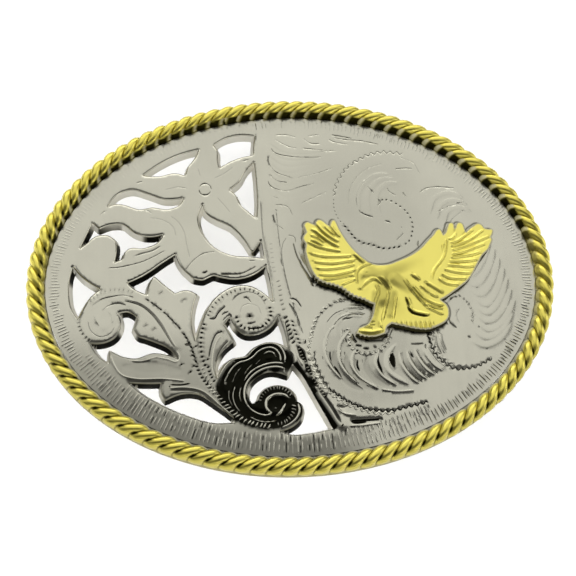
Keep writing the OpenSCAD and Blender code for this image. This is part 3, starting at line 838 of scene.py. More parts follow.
# The dark leaf and the volute under it: wide pits painted black as a dark reflection, then light rims that
# stand in them
leafCuts = [
    (3, 0.35, 1.25, (-3.6, -15.6), (-5.2, -14.6), (-7.2, -15), (-9.8, -16.9), (-12.2, -18.4),
     (-13.6, -20.4), (-13.8, -22.4)),
    (2, 0.35, 1.25, (-5, -16.2), (-7.6, -16.6), (-9.8, -18.4), (-11.4, -20.4), (-11.8, -22.4)),
    (2.6, 0.35, 1.2, (-14.2, -18.8), (-14.8, -20.6), (-14.2, -22.6), (-12.8, -24.6), (-11, -26.2)),
    (3, 0.35, 1.2, (-11, -18.4), (-11.7, -21), (-11.4, -23.4), (-10, -25.6), (-7.4, -26.9), (-4.8, -27.2),
     (-2.6, -26.6), (-1.4, -25.2)),
    (1.9, 0.4, 1.1, (-1.9, -14.4), (-1.7, -15.8), (-2.4, -17.6), (-2.7, -18.8)),
    (1.5, 0.35, 1.15, (-8.4, -24.4), (-7.8, -23), (-6.4, -21.9), (-4.6, -21.6), (-2.8, -22), (-1.9, -23.4)),
    (3.6, 0.35, 1.2, (-6, -24.6), (-4.4, -24.2), (-3.6, -25.2)),
    (0.34, -0.16, -0.9, (-15.2, -19.4), (-14.3, -17.8), (-13.1, -16.3), (-11.9, -15.6), (-10.6, -15.4),
     (-9.5, -15.1), (-8.7, -14.2), (-7.5, -13.3), (-6.2, -12.9), (-5, -12.9), (-3.9, -13.3), (-3.1, -14.2),
     (-2.7, -15.4), (-2.8, -16.8)),
    (0.34, -0.16, -0.85, (-14, -20), (-13.2, -18.4), (-12.2, -17.1), (-11, -16.3), (-9.7, -16),
     (-8.6, -15.4), (-7.4, -14.3), (-6.2, -13.8), (-5, -13.8), (-4.1, -14.4), (-3.6, -15.3),
     (-3.5, -16.5)),
    (0.3, -0.13, -0.7, (-6.6, -14.9), (-5.6, -14.5), (-4.8, -14.8), (-4.3, -15.6)),
    (0.24, -0.13, -0.6, (-8.6, -16.6), (-9.6, -17.6), (-10.4, -18.8)),
    (0.22, -0.13, -0.5, (-10.6, -17), (-11.8, -18.4), (-12.5, -20)),
    (0.22, -0.13, -0.5, (-7.2, -15.9), (-8.2, -16.8)),
    (0.4, -0.16, -0.95, (-2.8, -17.9), (-4, -17.5), (-5.6, -17.5), (-7.1, -17.9), (-8.6, -18.8),
     (-9.8, -20.1), (-10.4, -21.6), (-10.4, -23.1), (-9.9, -24.4), (-9, -25.4), (-7.7, -26.1),
     (-6.4, -26.3), (-5.5, -25.8)),
    (0.34, -0.13, -0.8, (-3, -16.9), (-4.4, -16.7), (-5.9, -16.8), (-7.6, -17.3), (-9.2, -18.3),
     (-10.4, -19.8)),
    (0.28, -0.13, -0.6, (-11, -20.9), (-11.3, -22.4), (-11, -23.8)),
    (0.26, -0.13, -0.6, (-12, -20.6), (-12.5, -22.4), (-12.2, -24), (-11.4, -25.4)),
    (0.24, -0.13, -0.5, (-13.2, -21.4), (-13.2, -23), (-12.6, -24.4)),
    (0.26, -0.13, -0.6, (-9.6, -26.4), (-8.2, -27.2), (-6.4, -27.5), (-4.6, -27.3)),
    (0.55, -0.16, -0.8, (-2.3, -23.4), (-3.2, -22.7), (-4.3, -22.5), (-5.5, -22.8), (-6.4, -23.5),
     (-6.6, -24.5), (-6.3, -25.4), (-5.7, -25.9)),
    (0.5, -0.16, -0.75, (-3, -24.2), (-3.5, -25), (-4.2, -26), (-5, -26.5)),
    (0.34, -0.13, -0.4, (-5.1, -25), (-4.7, -25.1)),
    (0.4, -0.13, -0.9, (-0.8, -24.3), (-0.6, -25.6), (-1.1, -26.9), (-2.5, -28.1), (-4, -28.7)),
    (0.34, -0.1, -0.9, (-1.2, -17.2), (-1.9, -18.4), (-2.2, -19)),
]
dividerCuts = [
    (0.3, 0.08, 0.3, (-5.7, 16), (-5.5, 8), (-4.9, 3), (-4.4, -1)),
    (0.3, 0.08, 0.25, (-2.7, 14), (-2.5, 8), (-1.7, 0.2), (-0.5, -5.8), (1, -11.6)),
    (0.28, 0.12, 0.8, (-2.3, -9), (-2, -11), (-1.7, -13)),
    (1.5, 0.25, 1.25, (-0.4, -13.7), (0.3, -14.8), (0.7, -15.9), (1.3, -17.1)),
    (1.2, 0.25, 1.2, (0.9, -16.9), (1.4, -18.1), (2.1, -19.5)),
    (1.1, 0.25, 1.1, (1.7, -19.4), (2.3, -20.6), (3.1, -21.7)),
    (0.8, 0.2, 0.9, (3, -21.5), (3.6, -22.6), (4.4, -23.9), (5.6, -26), (6.8, -28.4)),
    (0.32, 0.15, 1.1, (-1, -17), (0.1, -18.6), (1.4, -21.2), (2.6, -23.6), (3.8, -26), (5.3, -28.9)),
    (0.5, -0.15, -0.8, (-0.6, -14.2), (-0.4, -15.4), (0.1, -16.6), (0.5, -17.6)),
    (0.8, 0.3, 1.1, (4, -23), (4.4, -23.6)),
    (0.5, 0.2, 0.9, (4.3, -24), (4.7, -24.4)),
    (0.45, 0.2, 0.9, (5.1, -25.6), (5.6, -25.2)),
    (0.4, 0.2, 1, (6.7, -29.1), (7.2, -28.5)),
    (0.3, 0.1, 0.9, (-1.3, -4.3), (0, -4.8), (1, -6.3)),
    (0.3, 0.1, 0.8, (-1.5, -5.2), (-0.5, -6.6), (0.1, -8.2), (0.4, -10)),
    (0.5, -0.1, -0.5, (-1.4, -4.8), (-0.2, -5.4), (0.8, -7)),
    (0.34, 0.14, 1.1, (1.2, -12.4), (1.3, -13.4)),
    (0.24, 0.08, 0.5, (-3.3, 13), (-2.9, 11), (-1.4, 9.5)),
]
fieldCuts = [
    (0.24, 0.07, 0.5, (-2.3, 30.2), (0, 30.3), (2.3, 29.6)),
    (0.24, 0.07, 0.45, (3.4, 29.5), (5, 28.2), (7, 28.1)),
    (0.24, 0.07, 0.45, (4.3, 29.9), (7, 30.2)),
    (0.24, 0.07, 0.5, (8.5, 29.1), (9.5, 28.5), (12.5, 27.8)),
    (0.4, 0.1, 0.7, (9, 30.1), (11, 29.7), (13.5, 29.1)),
    (0.26, 0.08, 0.65, (9.5, 29.4), (12, 28.9), (15, 28.6), (18.7, 27.7)),
    (0.24, 0.07, 0.5, (3, 27.2), (5, 26.9), (7.5, 26.6)),
    (0.2, 0.06, 0.35, (6.5, 26.3), (10, 26.5)),
    (0.24, 0.07, 0.4, (-2.3, 29.4), (0.5, 27.6), (2.3, 27.1)),
    (0.26, 0.08, 0.6, (-3, 27.4), (-2.4, 26.4), (1, 25.3), (3.5, 25.1), (7, 25.1)),
    (0.24, 0.07, 0.4, (-3.3, 25.9), (-3.6, 24.5), (-2.5, 22.2), (1, 20.5)),
    (0.2, 0.06, 0.3, (2, 20.8), (5, 21.3), (9, 22.6)),
    (0.24, 0.07, 0.35, (-3.8, 21.7), (-2, 20), (0, 19.6)),
    (0.24, 0.07, 0.35, (-4, 20.1), (-3.5, 19), (-1, 17.9), (3, 18.8), (5, 19.3)),
    (0.24, 0.07, 0.35, (-3.3, 16.8), (-2, 16.1)),
    (0.24, 0.07, 0.4, (-3.1, 14.9), (-0.5, 14.4), (0.5, 12.4)),
    (0.24, 0.07, 0.4, (-3, 14), (-2.3, 13.4)),
    (0.24, 0.07, 0.5, (-0.9, 8.5), (0.5, 7.9), (0.6, 6.6)),
    (0.24, 0.07, 0.4, (-1, 8), (-1.8, 6.7), (-2.2, 4.5), (-2.1, 2)),
    (0.2, 0.06, 0.3, (2, 14.9), (4, 15.9), (7.5, 17.5)),
    (0.45, 0.12, 0.7, (0.1, 7), (0.7, 4.2), (1.6, 2), (2.8, -0.2), (3.6, -2.4)),
    (0.35, -0.1, -0.8, (0.9, 5.2), (1.4, 3.4), (2, 2.2)),
    (0.3, 0.08, 0.5, (15.3, 18.5), (16.7, 16.9)),
    (0.24, 0.07, 0.4, (19.3, 18.2), (19.7, 17.2), (21, 16.3)),
    (0.24, 0.07, 0.4, (22.2, 17.3), (23, 15.9)),
    (0.24, 0.07, 0.4, (21, 22.1), (23, 22.3), (25, 22.2)),
    (0.24, 0.08, 0.5, (25.5, 16.8), (27, 17.8), (29.5, 18.1), (32.9, 17.8)),
    (0.42, 0.12, 0.7, (13.3, 13.1), (14.5, 12.3), (16.2, 11.7)),
    (0.3, 0.1, 0.6, (18, 11), (19.5, 10.5)),
    (0.3, 0.1, 0.7, (17.2, 15.6), (17.7, 15.2), (17, 14.1)),
    (0.26, 0.08, 0.5, (21.2, 9.7), (21.5, 9.3)),
    (0.26, 0.08, 0.5, (20, 6.7), (21.8, 8.4)),
    (0.26, 0.08, 0.5, (24.4, 6.9), (24.2, 5.3)),
    (0.26, 0.06, 0.2, (28.5, 12.5), (31, 13.8), (34, 14.7)),
    (0.26, 0.06, 0.2, (30.5, 8.8), (31.5, 11), (34, 13)),
    (0.26, 0.06, 0.2, (17, 21), (14.5, 19), (13, 16), (13, 14)),
    (0.26, 0.06, 0.2, (19, 23.5), (16, 22.5), (13.5, 20.5), (11.8, 17.5), (11.4, 14.5)),
    (0.26, 0.06, 0.2, (26.2, 21), (25, 23.6), (22.4, 24.8)),
    (0.24, 0.06, 0.35, (29.6, 5.6), (30.6, 6.4)),
]
# Engraved leaves under the eagle, with polished ridges beside the deep cuts
lowerCuts = [
    (0.36, 0.12, 1, (5.7, -14.8), (5.6, -16), (5.8, -17)),
    (0.36, 0.12, 0.8, (5, -14), (4.8, -15.5)),
    (0.29, 0.1, 0.7, (4.2, -15.7), (4.3, -16.6)),
    (0.31, 0.1, 0.7, (5.1, -17.3), (5.5, -18.5)),
    (0.72, 0.22, 1.3, (6.2, -17.6), (6.7, -18.7), (7.5, -20.2)),
    (0.46, 0.14, 1.1, (7.6, -14.9), (7.4, -16.5), (7.8, -18), (8.5, -19.3)),
    (0.36, 0.1, 0.8, (8.4, -15), (8.3, -15.9)),
    (0.48, 0.14, 1.1, (10.7, -16.6), (10.5, -17.7), (10.9, -19)),
    (0.41, 0.12, 1, (10.3, -14.8), (10.9, -15.2), (11.1, -15.8)),
    (0.31, 0.08, 0.6, (11.6, -16.6), (11.5, -17.5)),
    (0.6, 0.18, 1.3, (14.5, -15.7), (14.4, -17), (15.1, -19.4)),
    (1.26, 0.35, 1.6, (16.7, -14.6), (17, -16.5), (17.4, -18.6)),
    (0.54, 0.14, 1, (20.5, -15.6), (21.2, -16.8)),
    (0.31, 0.1, 0.8, (20.7, -14.1), (22.2, -14.1), (23.5, -14)),
    (0.41, 0.12, 0.9, (23.6, -14), (23.7, -15), (24.3, -16.5), (25.7, -18)),
    (0.36, 0.12, 1.1, (10.3, -13.9), (11.8, -14.2)),
    (0.36, 0.12, 1.1, (11.7, -14.6), (13.1, -14.8)),
    (0.36, 0.12, 0.9, (13.7, -14.4), (14.5, -14.5)),
    (0.31, 0.1, 0.7, (16, -14), (16.6, -13.4), (17, -12.3), (17.7, -11)),
    (0.41, 0.14, 1.1, (8.3, -8.9), (9.2, -8.7), (10.1, -8.7)),
    (0.36, 0.12, 0.9, (10, -11.6), (10.4, -12.7), (10.9, -13.5)),
    (0.36, 0.14, 1, (8.7, -12.4), (8.9, -13.5)),
    (0.29, 0.1, 0.8, (8.6, -10.9), (8.7, -11.5)),
    (0.66, 0.25, 1.4, (8.3, -28), (10.5, -28), (14.6, -27.9)),
    (0.42, 0.2, 1.2, (8.5, -28.1), (9.2, -28.4), (11.5, -28.3)),
    (0.48, -0.22, -1, (8.2, -28.9), (10.5, -28.9), (14, -28.6)),
    (0.48, -0.22, -1, (6.2, -25.6), (7.5, -26.6), (9.7, -27)),
    (0.36, 0.14, 0.8, (6, -25), (7.2, -25.5), (8.4, -25.2)),
    (0.8, -0.26, -0.9, (6, -10.5), (4.7, -13.5), (5.2, -17), (7.5, -20.4)),
    (0.8, -0.28, -1, (9.2, -11.4), (7.5, -13.8), (7.3, -16.7), (8.3, -19), (10.4, -21.2)),
    (0.8, -0.28, -1, (10.2, -14.8), (9.5, -17.1), (10.6, -19.8), (14.3, -22.4)),
    (0.8, -0.28, -1, (14.6, -15.4), (13.9, -17.2), (14.8, -19.6), (17.7, -21.9)),
    (1.4, -0.32, -1.1, (18, -13.9), (16.2, -16.2), (16.3, -18.9), (20, -21.8)),
    (1.3, 0.1, 0.34, (6.6, -14.6), (6.3, -17), (8.3, -20.6), (11.4, -22.6)),
    (1.3, 0.1, 0.3, (8.6, -15.6), (8.6, -17.6), (10.2, -20.4), (13.4, -22.8)),
    (1.6, 0.1, 0.3, (12.6, -16.2), (12.2, -17.8), (13.2, -20), (16.2, -22.2)),
    (0.63, -0.25, -0.9, (7.3, -9.8), (6, -10.8), (5.3, -12), (4.9, -13.6)),
    (0.56, -0.25, -0.8, (12.6, -7.9), (10, -7.8), (7.8, -8.6), (6.4, -10.2)),
    (0.41, 0.1, 0.3, (13, -8), (10.4, -8), (8.2, -9.2)),
    (0.48, -0.22, -0.7, (12.8, -7), (9.8, -6.8), (7, -7.6), (5.2, -9.4)),
    (0.42, -0.18, -0.7, (8.1, -10.4), (7.9, -12), (8, -13.3)),
    (0.42, -0.18, -0.5, (14.5, -22.4), (17.4, -22.9), (20.8, -22.8)),
    (0.36, 0.1, 0.9, (24.1, -11.8), (24.3, -12.8), (24.9, -14.4)),
    (0.36, 0.1, 0.55, (25.8, -12.3), (25.9, -14.2), (26.6, -16.2)),
    (0.36, 0.1, 0.5, (26.9, -12), (27, -13.6), (27.6, -15.6)),
    (0.42, -0.18, -0.6, (26.3, -11.5), (26.4, -13.8), (27.2, -16.2)),
]
rightCuts = [
    (0.3, 0.1, 0.6, (28.5, -8.8), (28.8, -10), (30, -11.3)),
    (0.26, 0.1, 0.6, (34.1, -10.8), (34.3, -11.3)),
    (0.3, 0.1, 0.6, (31.7, -12.7), (32.5, -13.3)),
    (0.3, 0.06, 0.3, (28.6, -6.2), (29.4, -5.2), (30.6, -4.6)),
    (0.3, 0.06, 0.25, (30.6, -10.4), (30.2, -8.6), (31, -7.2)),
]

# Columns: width, darkness, then the middles of small round punch marks
punchMarks = [
    (0.5, 0.7, (-28, -8.5), (-26.4, -9.2), (-25.1, -2.2), (-20.9, -3.8)),
    (0.5, 1.1, (-18.9, -12.9), (-19.6, -14.6), (-16.8, -15.5), (-19.4, -16.6), (-20, -17.7),
     (-21.6, -16.2)),
]
# Columns: pitch, length, slant from the path in degrees, width, depth, darkness, then the path
dashRows = [
    (0.95, 0.9, 90, 0.34, 0.06, 0.35, (-4.2, 7.2), (-3.9, 2.2), (-3.7, 0.8)),
    (0.95, 0.95, 100, 0.38, 0.08, 0.8, (-3.3, -0.4), (-2.9, -2.6), (-2.8, -4.6), (-2.3, -7)),
    (0.8, 1.1, 105, 0.4, 0.1, 1.1, (-2.2, -7.8), (-1.9, -9.2), (-1.5, -11.2), (-0.9, -13.2)),
    (0.9, 0.6, 60, 0.44, 0.12, 1.2, (-1, -8.4), (-0.8, -10.2), (-0.3, -11.9), (0.2, -13.4)),
    (0.62, 0.7, 80, 0.26, -0.12, -0.75, (-0.2, -13.9), (0.7, -16.4), (1.7, -18.7), (2.8, -21),
     (4.2, -23.6)),
    (0.8, 0.7, 90, 0.32, 0.1, 0.6, (-39.5, -3), (-40.4, -6.5), (-39.8, -9), (-38.2, -11)),
    (0.85, 0.5, 80, 0.36, 0.1, 0.65, (-38.6, -3.6), (-35.8, -1.6), (-32.2, -1.3), (-30, -2)),
    # rim of the volute and the twisted band beside the leaf
    (0.6, 0.8, 90, 0.26, -0.12, -0.6, (-7.9, -23.8), (-7, -22.2), (-5.2, -21.3), (-3.4, -21.5),
     (-1.9, -22.8)),
    (0.6, 1, 80, 0.28, -0.12, -0.6, (-1.5, -24.4), (-1.8, -26), (-3, -27.4), (-5, -28)),
    (0.75, 1.2, 70, 0.34, -0.14, -0.8, (-16.9, -20.2), (-15.4, -22.2), (-13.8, -24.2), (-12.4, -25.7),
     (-10.8, -26.9), (-8.6, -27.8), (-6.2, -28.3)),
    (0.75, 1, 130, 0.28, 0.2, 1.2, (-17.2, -19.6), (-15.7, -21.6), (-14.1, -23.6), (-12.7, -25.1),
     (-11.2, -26.4), (-9, -27.5), (-6.4, -28.1)),
    (0.75, 0.9, 65, 0.44, 0.12, 1.2, (-19, -16.4), (-18.2, -18.4), (-17.1, -20.2), (-16, -21.6)),
    (0.8, 0.7, 110, 0.3, -0.12, -0.8, (-18, -16.6), (-17.2, -18.6), (-16.4, -20)),
    (0.7, 0.75, 90, 0.4, 0.12, 1.2, (-16.9, -16.6), (-16.4, -18.4), (-15.7, -19.8)),
    # leaf stem and the right-hand scroll
    (1, 0.42, 0, 0.5, 0.12, 1.2, (-28, -3.2), (-25.3, -5.4), (-23.1, -7.7), (-21.7, -9.4)),
    (0.95, 0.6, 20, 0.55, 0.14, 1.3, (-21.3, -10), (-20.3, -11.8), (-19.7, -13.2), (-19.2, -15),
     (-18.8, -16.4)),
    (0.9, 0.7, 90, 0.5, 0.14, 1.3, (-17.1, -8.2), (-17.7, -10.2), (-18, -12.7), (-17.8, -15), (-17.2, -17)),
    (0.9, 0.6, 90, 0.42, 0.1, 0.9, (-16.7, -7.6), (-15.5, -5.4), (-13.7, -3.7), (-11.5, -2.6), (-8.9, -2.3),
     (-6.7, -3.5), (-5.5, -4.9)),
    (0.85, 0.75, 90, 0.46, 0.14, 1.3, (-5.1, -5.6), (-4.9, -7.7), (-6, -9.3), (-8, -10.1), (-10, -9.8),
     (-11.1, -8.4), (-11.3, -7.4)),
    # wriggled scrolls of the right half
    (0.8, 0.5, 20, 0.32, 0.1, 0.8, (8.6, 16), (8.5, 14), (9.2, 11.5), (10.4, 10.1)),
    (1, 0.75, 25, 0.46, 0.14, 1.2, (10, 10.4), (11.2, 8.7), (12.2, 7.3), (13.5, 6.4), (15.2, 6),
     (16.7, 5.3), (18, 5.1), (19.5, 5.3), (21, 5.5)),
    (1, 0.6, 25, 0.36, 0.12, 0.9, (21.4, 5.7), (22.7, 6.8), (23.4, 8.6), (23.6, 9.9), (23.2, 11.7),
     (22.2, 13.3), (20.9, 14.4), (19.5, 15.3), (17.5, 15.4)),
    (1, 0.5, 30, 0.32, 0.1, 0.5, (8, -5.2), (6.5, -6), (5.2, -7), (4, -8.3), (3.3, -10), (2.6, -11.8)),
    (0.8, 0.36, 10, 0.3, 0.1, 0.5, (30, -4.9), (31.2, -4.9), (32.2, -5.8), (33, -7), (33.4, -8.5),
     (33.2, -10)),
]
# Columns: pitch, swing, width, depth, darkness, then the path
waves = [
    (1.3, 0.28, 0.22, 0.08, 0.45, (23.3, 25.6), (20.5, 25.9), (19, 26), (16, 25.3), (14.5, 24.5),
     (13, 23.6), (11.5, 22.4), (10.3, 20.7), (9.6, 19.5), (9, 18), (8.6, 16)),
    (1.2, 0.24, 0.4, -0.22, -1, (2.6, -11.4), (1.9, -13.5), (1.7, -15), (2, -17), (2.4, -18.5), (3, -20),
     (3.9, -21.5), (5.6, -23.2), (8, -24.9), (11.2, -26.3), (14, -26.9), (17, -26.9)),
    (1.2, 0.12, 0.24, 0.1, 0.9, (2.7, -14.8), (2.8, -16.5), (3.3, -18.5), (4.1, -20.3), (5, -21.9)),
    (1.1, 0.22, 0.34, -0.18, -0.8, (9.2, -5), (6.8, -5.6), (5, -6.8), (3.6, -8.4), (2.8, -10.2),
     (2.2, -12.4)),
    (1, 0.25, 0.34, -0.18, -0.8, (9.2, -10.6), (9.5, -12), (9.4, -13.6), (10.4, -15.1), (12.6, -15.6),
     (14.6, -15.2), (16.2, -13.8), (17.2, -12.2)),
    (1.1, 0.2, 0.34, 0.14, 1.3, (4.6, -21.9), (6.1, -22.9), (8.3, -24.5), (11.5, -25.9), (13.5, -26.3),
     (16.6, -26.4), (19, -25.9), (21.5, -25.4), (23.6, -25)),
    (1.1, 0.2, 0.3, 0.12, 0.95, (24.2, -11.5), (24.5, -13.4), (25.2, -15.9), (26.9, -17.9), (28.7, -19),
     (31.2, -19), (32.9, -18.7), (34.5, -18), (36.4, -17)),
    (1.4, 0.2, 0.26, -0.08, -0.5, (24.9, -11.4), (25.2, -13.4), (25.9, -15.6), (27.4, -17.4), (29.2, -18.3),
     (31.2, -18.2)),
]
# Flowing leaf lines: every pair of neighbouring lines is blended in steps. A line has four points.
# Columns: steps, width, depth, darkness, then the lines
flows = [
    (3, 1.6, -0.22, -0.02, [
        [(31.6, 0.6), (33.6, -0.6), (36.4, 2), (38.6, 7)],
        [(34.2, -5.4), (36.1, -6.6), (38.4, -4.4), (40.6, 1)],
        [(34, -10.2), (36.2, -11.6), (39, -10.2), (42, -5.6)],
        [(31.6, -15.4), (34.4, -16.2), (37.4, -15.2), (40.2, -12.4)],
    ]),
    (3, 1.2, -0.22, -0.02, [
        [(13.4, 13), (13.6, 17), (16.8, 20.6), (20, 21)],
        [(19.4, 12), (18.6, 15.4), (20, 17.8), (22.6, 18.2)],
    ]),
    (3, 1.2, -0.22, -0.02, [
        [(27, 12), (28.5, 15.6), (31.6, 16.8), (34.5, 15.4)],
        [(31, 8.6), (32, 11.2), (34.2, 12), (36.4, 11)],
    ]),
    (4, 0.8, 0.05, 0.06, [
        [(-3.2, 28.4), (-0.5, 26.4), (3.5, 25.9), (8, 26.4)],
        [(-3.4, 22.6), (-1, 20.6), (3, 21), (8, 22.9)],
        [(-3, 17.2), (-0.5, 15.2), (3, 16), (7, 18.4)],
    ]),
    (4, 0.8, -0.12, -0.3, [
        [(5, -12.6), (5.4, -9), (8.6, -6.6), (12.4, -6.6)],
        [(7.4, -12.8), (7.6, -10.4), (9.8, -8.9), (12.6, -9)],
    ]),
    (3, 0.9, -0.26, -0.9, [
        [(18.5, -15.3), (18.8, -17.8), (20.5, -20.5), (21.9, -21.7)],
        [(22.9, -14.7), (23.7, -16.4), (25, -18.2), (26.6, -19.4)],
        [(24, -14.4), (24.8, -16), (26, -17.8), (27.6, -19)],
    ]),
    (3, 0.34, 0.1, 0.4, [
        [(19.1, -15.3), (19.3, -17.8), (21, -20.4), (22.5, -21.5)],
        [(23.4, -14.7), (24.2, -16.4), (25.5, -18.1), (27.1, -19.2)],
    ]),
]
tickSet = {
    # rows of ticks round the border: distance from the outer edge to either end, highest y and how
    # much lower the row ends on the right, all mm
    "rows": [(4.0, 6.1, 40.0, 10.0), (6.0, 7.7, -14.0, 14.0)],
    "around": 230.0,
    "pitch": 0.34,
    "width": 0.24,
    "depth": 0.055,
    "ragged": (0.4, 0.6, 0.8),  # how far chance moves a tick, its outer and its inner end
    "cut": (0.6, 0.6),  # depth of a cut tick and what its mood adds, both times the depth above
    "raised": (1.6, 1.6),  # height of a raised one and what the lower right adds
    "calmCut": 0.5,  # what the calm left end takes off the one and the other
    "calmRaised": 0.2,
    "strongRight": 0.6,  # what the right takes off the strong tones of the lower edge
    "strongTone": 0.7,
    "cutTone": (0.03, 0.5),  # darkness of a cut tick, and its share of the strong tone at middle mood
    "raisedTone": (0.4, 1.0),  # the same for the polish of a raised one
    "moodGain": 3,
    "noiseStep": 7.3,
    "noiseLayers": (0.5, 5.5, 9.5, 13.5),  # one for each of the three moves and one for the mood
}
divider = {
    "path": [(-5, 34.5), (-4.6, 24), (-4.35, 16), (-4.1, 8), (-3.1, 0.1), (-1.9, -5.9),
             (-0.4, -11.8), (1.5, -17), (4.1, -22.8), (7.1, -28.7)],
    "half": 1.3,
    "height": 0.22,
}
# Broad raised forms. Columns: half width, height, then the points
swells = [
    (1.3, 0.1, (-31, -3.6), (-33, -2.6), (-35.6, -2.4), (-38.2, -4), (-39.2, -7), (-38, -10),
     (-35.6, -10.8), (-33.6, -9.4)),
    (1.5, 0.12, (-37, -6.6), (-35.6, -5.2), (-34.4, -6.6), (-35.4, -8.2)),
    (1.2, 0.1, (-16.8, -9), (-15.6, -6), (-13.4, -3.8), (-10.6, -2.6), (-7.6, -3), (-5.4, -5.2), (-5.2, -8),
     (-6.8, -9.8), (-9.2, -10), (-10.9, -8.6)),
    (1.6, 0.12, (-10.2, -6.8), (-8.8, -6), (-7.6, -7), (-8.6, -8.2)),
    (1.6, 0.12, (-30, -2), (-27, -4.6), (-24.4, -8.2), (-22.4, -12.4)),
]

# Broad dark tones; those of the leaf are a painted dark reflection and reach down its walls. Columns: half
# width, darkness, then the points
leafBands = [
    (2.7, 1, (-4.3, -15.9), (-5.4, -15.4), (-8.6, -16.6), (-11.4, -18.8), (-12.6, -21.6), (-12, -23.8),
     (-10, -25.5), (-7.2, -26.3), (-4.2, -26.2), (-2.6, -25.6)),
    (3.1, 1, (-5, -24.4), (-3.8, -24.7)),
]
fieldBands = [
    (0.55, 1, (-0.7, -17), (0.4, -18.6), (1.7, -21.2), (2.9, -23.6), (4.1, -26), (5.6, -28.9)),
    # painted shadows on the face under the eagle's left wing, its tail and its foot
    (0.45, 1, (3.4, -0.8), (4.1, -1.7), (5.5, -2.4), (7, -2.9), (8.5, -3.6), (10.5, -5.1), (12.6, -6),
     (14.2, -7)),
    (0.3, 1, (18, -10.8), (19.6, -11.2), (22, -11.8), (24.4, -12), (26, -11.5), (28, -10.2)),
    (0.3, 1, (11, -12.4), (13.5, -13.2), (15.9, -12.9), (16.5, -12.2)),
]


def dashesAlong(pitch, length, slant, width, depth, dark, *path):
    line = curveThrough(path, carveSet["dashStep"])
    lengths = alongLine(line)
    rows, goal = [], pitch * 0.5
    for i, spot in enumerate(line):
        if lengths[i] >= goal:
            goal += pitch
            side = sideways(line, i)
            way = Vector((side.y, -side.x)) * cos(radians(slant)) + side * sin(radians(slant))
            rows.append((width, depth, dark, spot - way * length / 2, spot + way * length / 2))
    return rows


def waveAlong(pitch, swing, width, depth, dark, *path):
    line = curveThrough(path, carveSet["sampleStep"])
    lengths = alongLine(line)
    points, goal, side = [], 0.0, 1
    for i, spot in enumerate(line):
        if lengths[i] >= goal:
            goal += pitch / 2
            side = -side
            points.append(spot + sideways(line, i) * swing * side)
    return [(width, depth, dark, *points)]


def flowRows(steps, width, depth, dark, lines):
    rows = []
    for first, last in zip(lines, lines[1:]):
        for i in range(steps):
            blend = [Vector(a).lerp(Vector(b), i / steps) for a, b in zip(first, last)]
            rows.append((width, depth, dark, *blend))
    return rows


def borderTicks():
    # every second tick is cut, the others are raised between them
    rows = []
    moveTick, moveOuter, moveInner = tickSet["ragged"]
    count = round(tickSet["around"] / tickSet["pitch"] / 2) * 2
    for outer, inner, highest, fall in tickSet["rows"]:
        for i in range(count):
            shift, early, late, mood = (noise.noise(Vector((i * tickSet["noiseStep"], outer, layer)))
                                        for layer in tickSet["noiseLayers"])
            angle = (i + shift * moveTick) * 2 * pi / count
            a = ovalPoint(angle, outer + early * moveOuter)
            b = ovalPoint(angle, inner + late * moveInner)
            if a.y >= highest - fall * smoothStep(0, 30, a.x):
                continue
            # higher at the lower right, calmer at the left end, strong and dark along the lower edge
            right = smoothStep(2, 20, a.x) * (1 - smoothStep(-22, 4, a.y))
            calm = smoothStep(18, 34, -a.x) * smoothStep(-14, -2, a.y)
            strong = (1 - smoothStep(-29, -8, a.y)) * (1 - tickSet["strongRight"] * smoothStep(2, 24, a.x))
            size, added = tickSet["cut" if i % 2 else "raised"]
            tone, share = tickSet["cutTone" if i % 2 else "raisedTone"]
            dark = tone + tickSet["strongTone"] * strong * max(0.0, share + tickSet["moodGain"] * mood)
            if i % 2:
                depth = tickSet["depth"] * (size + added * mood) * (1 - tickSet["calmCut"] * calm)
                rows.append((tickSet["width"], depth, dark, a, b))
            else:
                height = tickSet["depth"] * (size + added * right - tickSet["calmRaised"] * calm)
                rows.append((tickSet["width"], -height, -dark, a, b))
    return rows


def broadDarkTone(x, y):
    # broad darker tones under the eagle, on the lower stems, along the lower left border and above the
    # eagle;
    # the one along the lower left border is a painted darker reflection
    broadDark = faceSet["broadDark"]
    under = broadDark["under"] * (1 - smoothStep(5, 11.5, Vector(((x - 12.5) * 0.85, y + 17.0)).length))
    stems = broadDark["stems"] * smoothStep(7, 17, -y) * smoothStep(1, 5, -x)
    reach = Vector((x / oval["length"] * 2, y / oval["width"] * 2)).length
    border = broadDark["border"] * smoothStep(0.78, 0.83, reach) * smoothStep(10, 24, -y)
    border *= 1 - smoothStep(2, 16, x)
    middle = broadDark["middle"] * (1 - smoothStep(8, 20, Vector((x - 13, y - 13)).length))
    return max(under, stems, border, middle)


def layBands(rows):
    samples = []
    for half, amount, *points in rows:
        samples += [(spot, half, amount) for spot in curveThrough(points, carveSet["bandStep"])]
    tree = placeTree([sample[0] for sample in samples])
    return {"samples": samples, "tree": tree, "reach": max(sample[1] for sample in samples)}


def bandAt(bands, x, y, core):
    # the amount of the strongest band over a point; it falls off outside the core share of its width
    best = 0.0
    for _, i, far in bands["tree"].find_range((x, y, 0), bands["reach"]):
        _, half, amount = bands["samples"][i]
        if far < half:
            best = max(best, amount * (1 - smoothStep(core, 1, far / half)))
    return best


def faceRows():
    rows = [*petalCuts, *stemCuts, *scrollCuts, *leafCuts, *dividerCuts, *fieldCuts, *lowerCuts, *rightCuts]
    depth, alongX, alongY = faceSet["punch"]
    for width, dark, *spots in punchMarks:
        rows += [(width, depth, dark, (x - alongX, y - alongY), (x + alongX, y + alongY)) for x, y in spots]
    for spread, table in ((dashesAlong, dashRows), (waveAlong, waves), (flowRows, flows)):
        for row in table:
            rows += spread(*row)
    rows += borderTicks()
    # a shallow line round the eagle, dark as a painted shadow
    rows.append((*eagleSet["outlineCut"], *eagleOutline, eagleOutline[0]))
    return rows


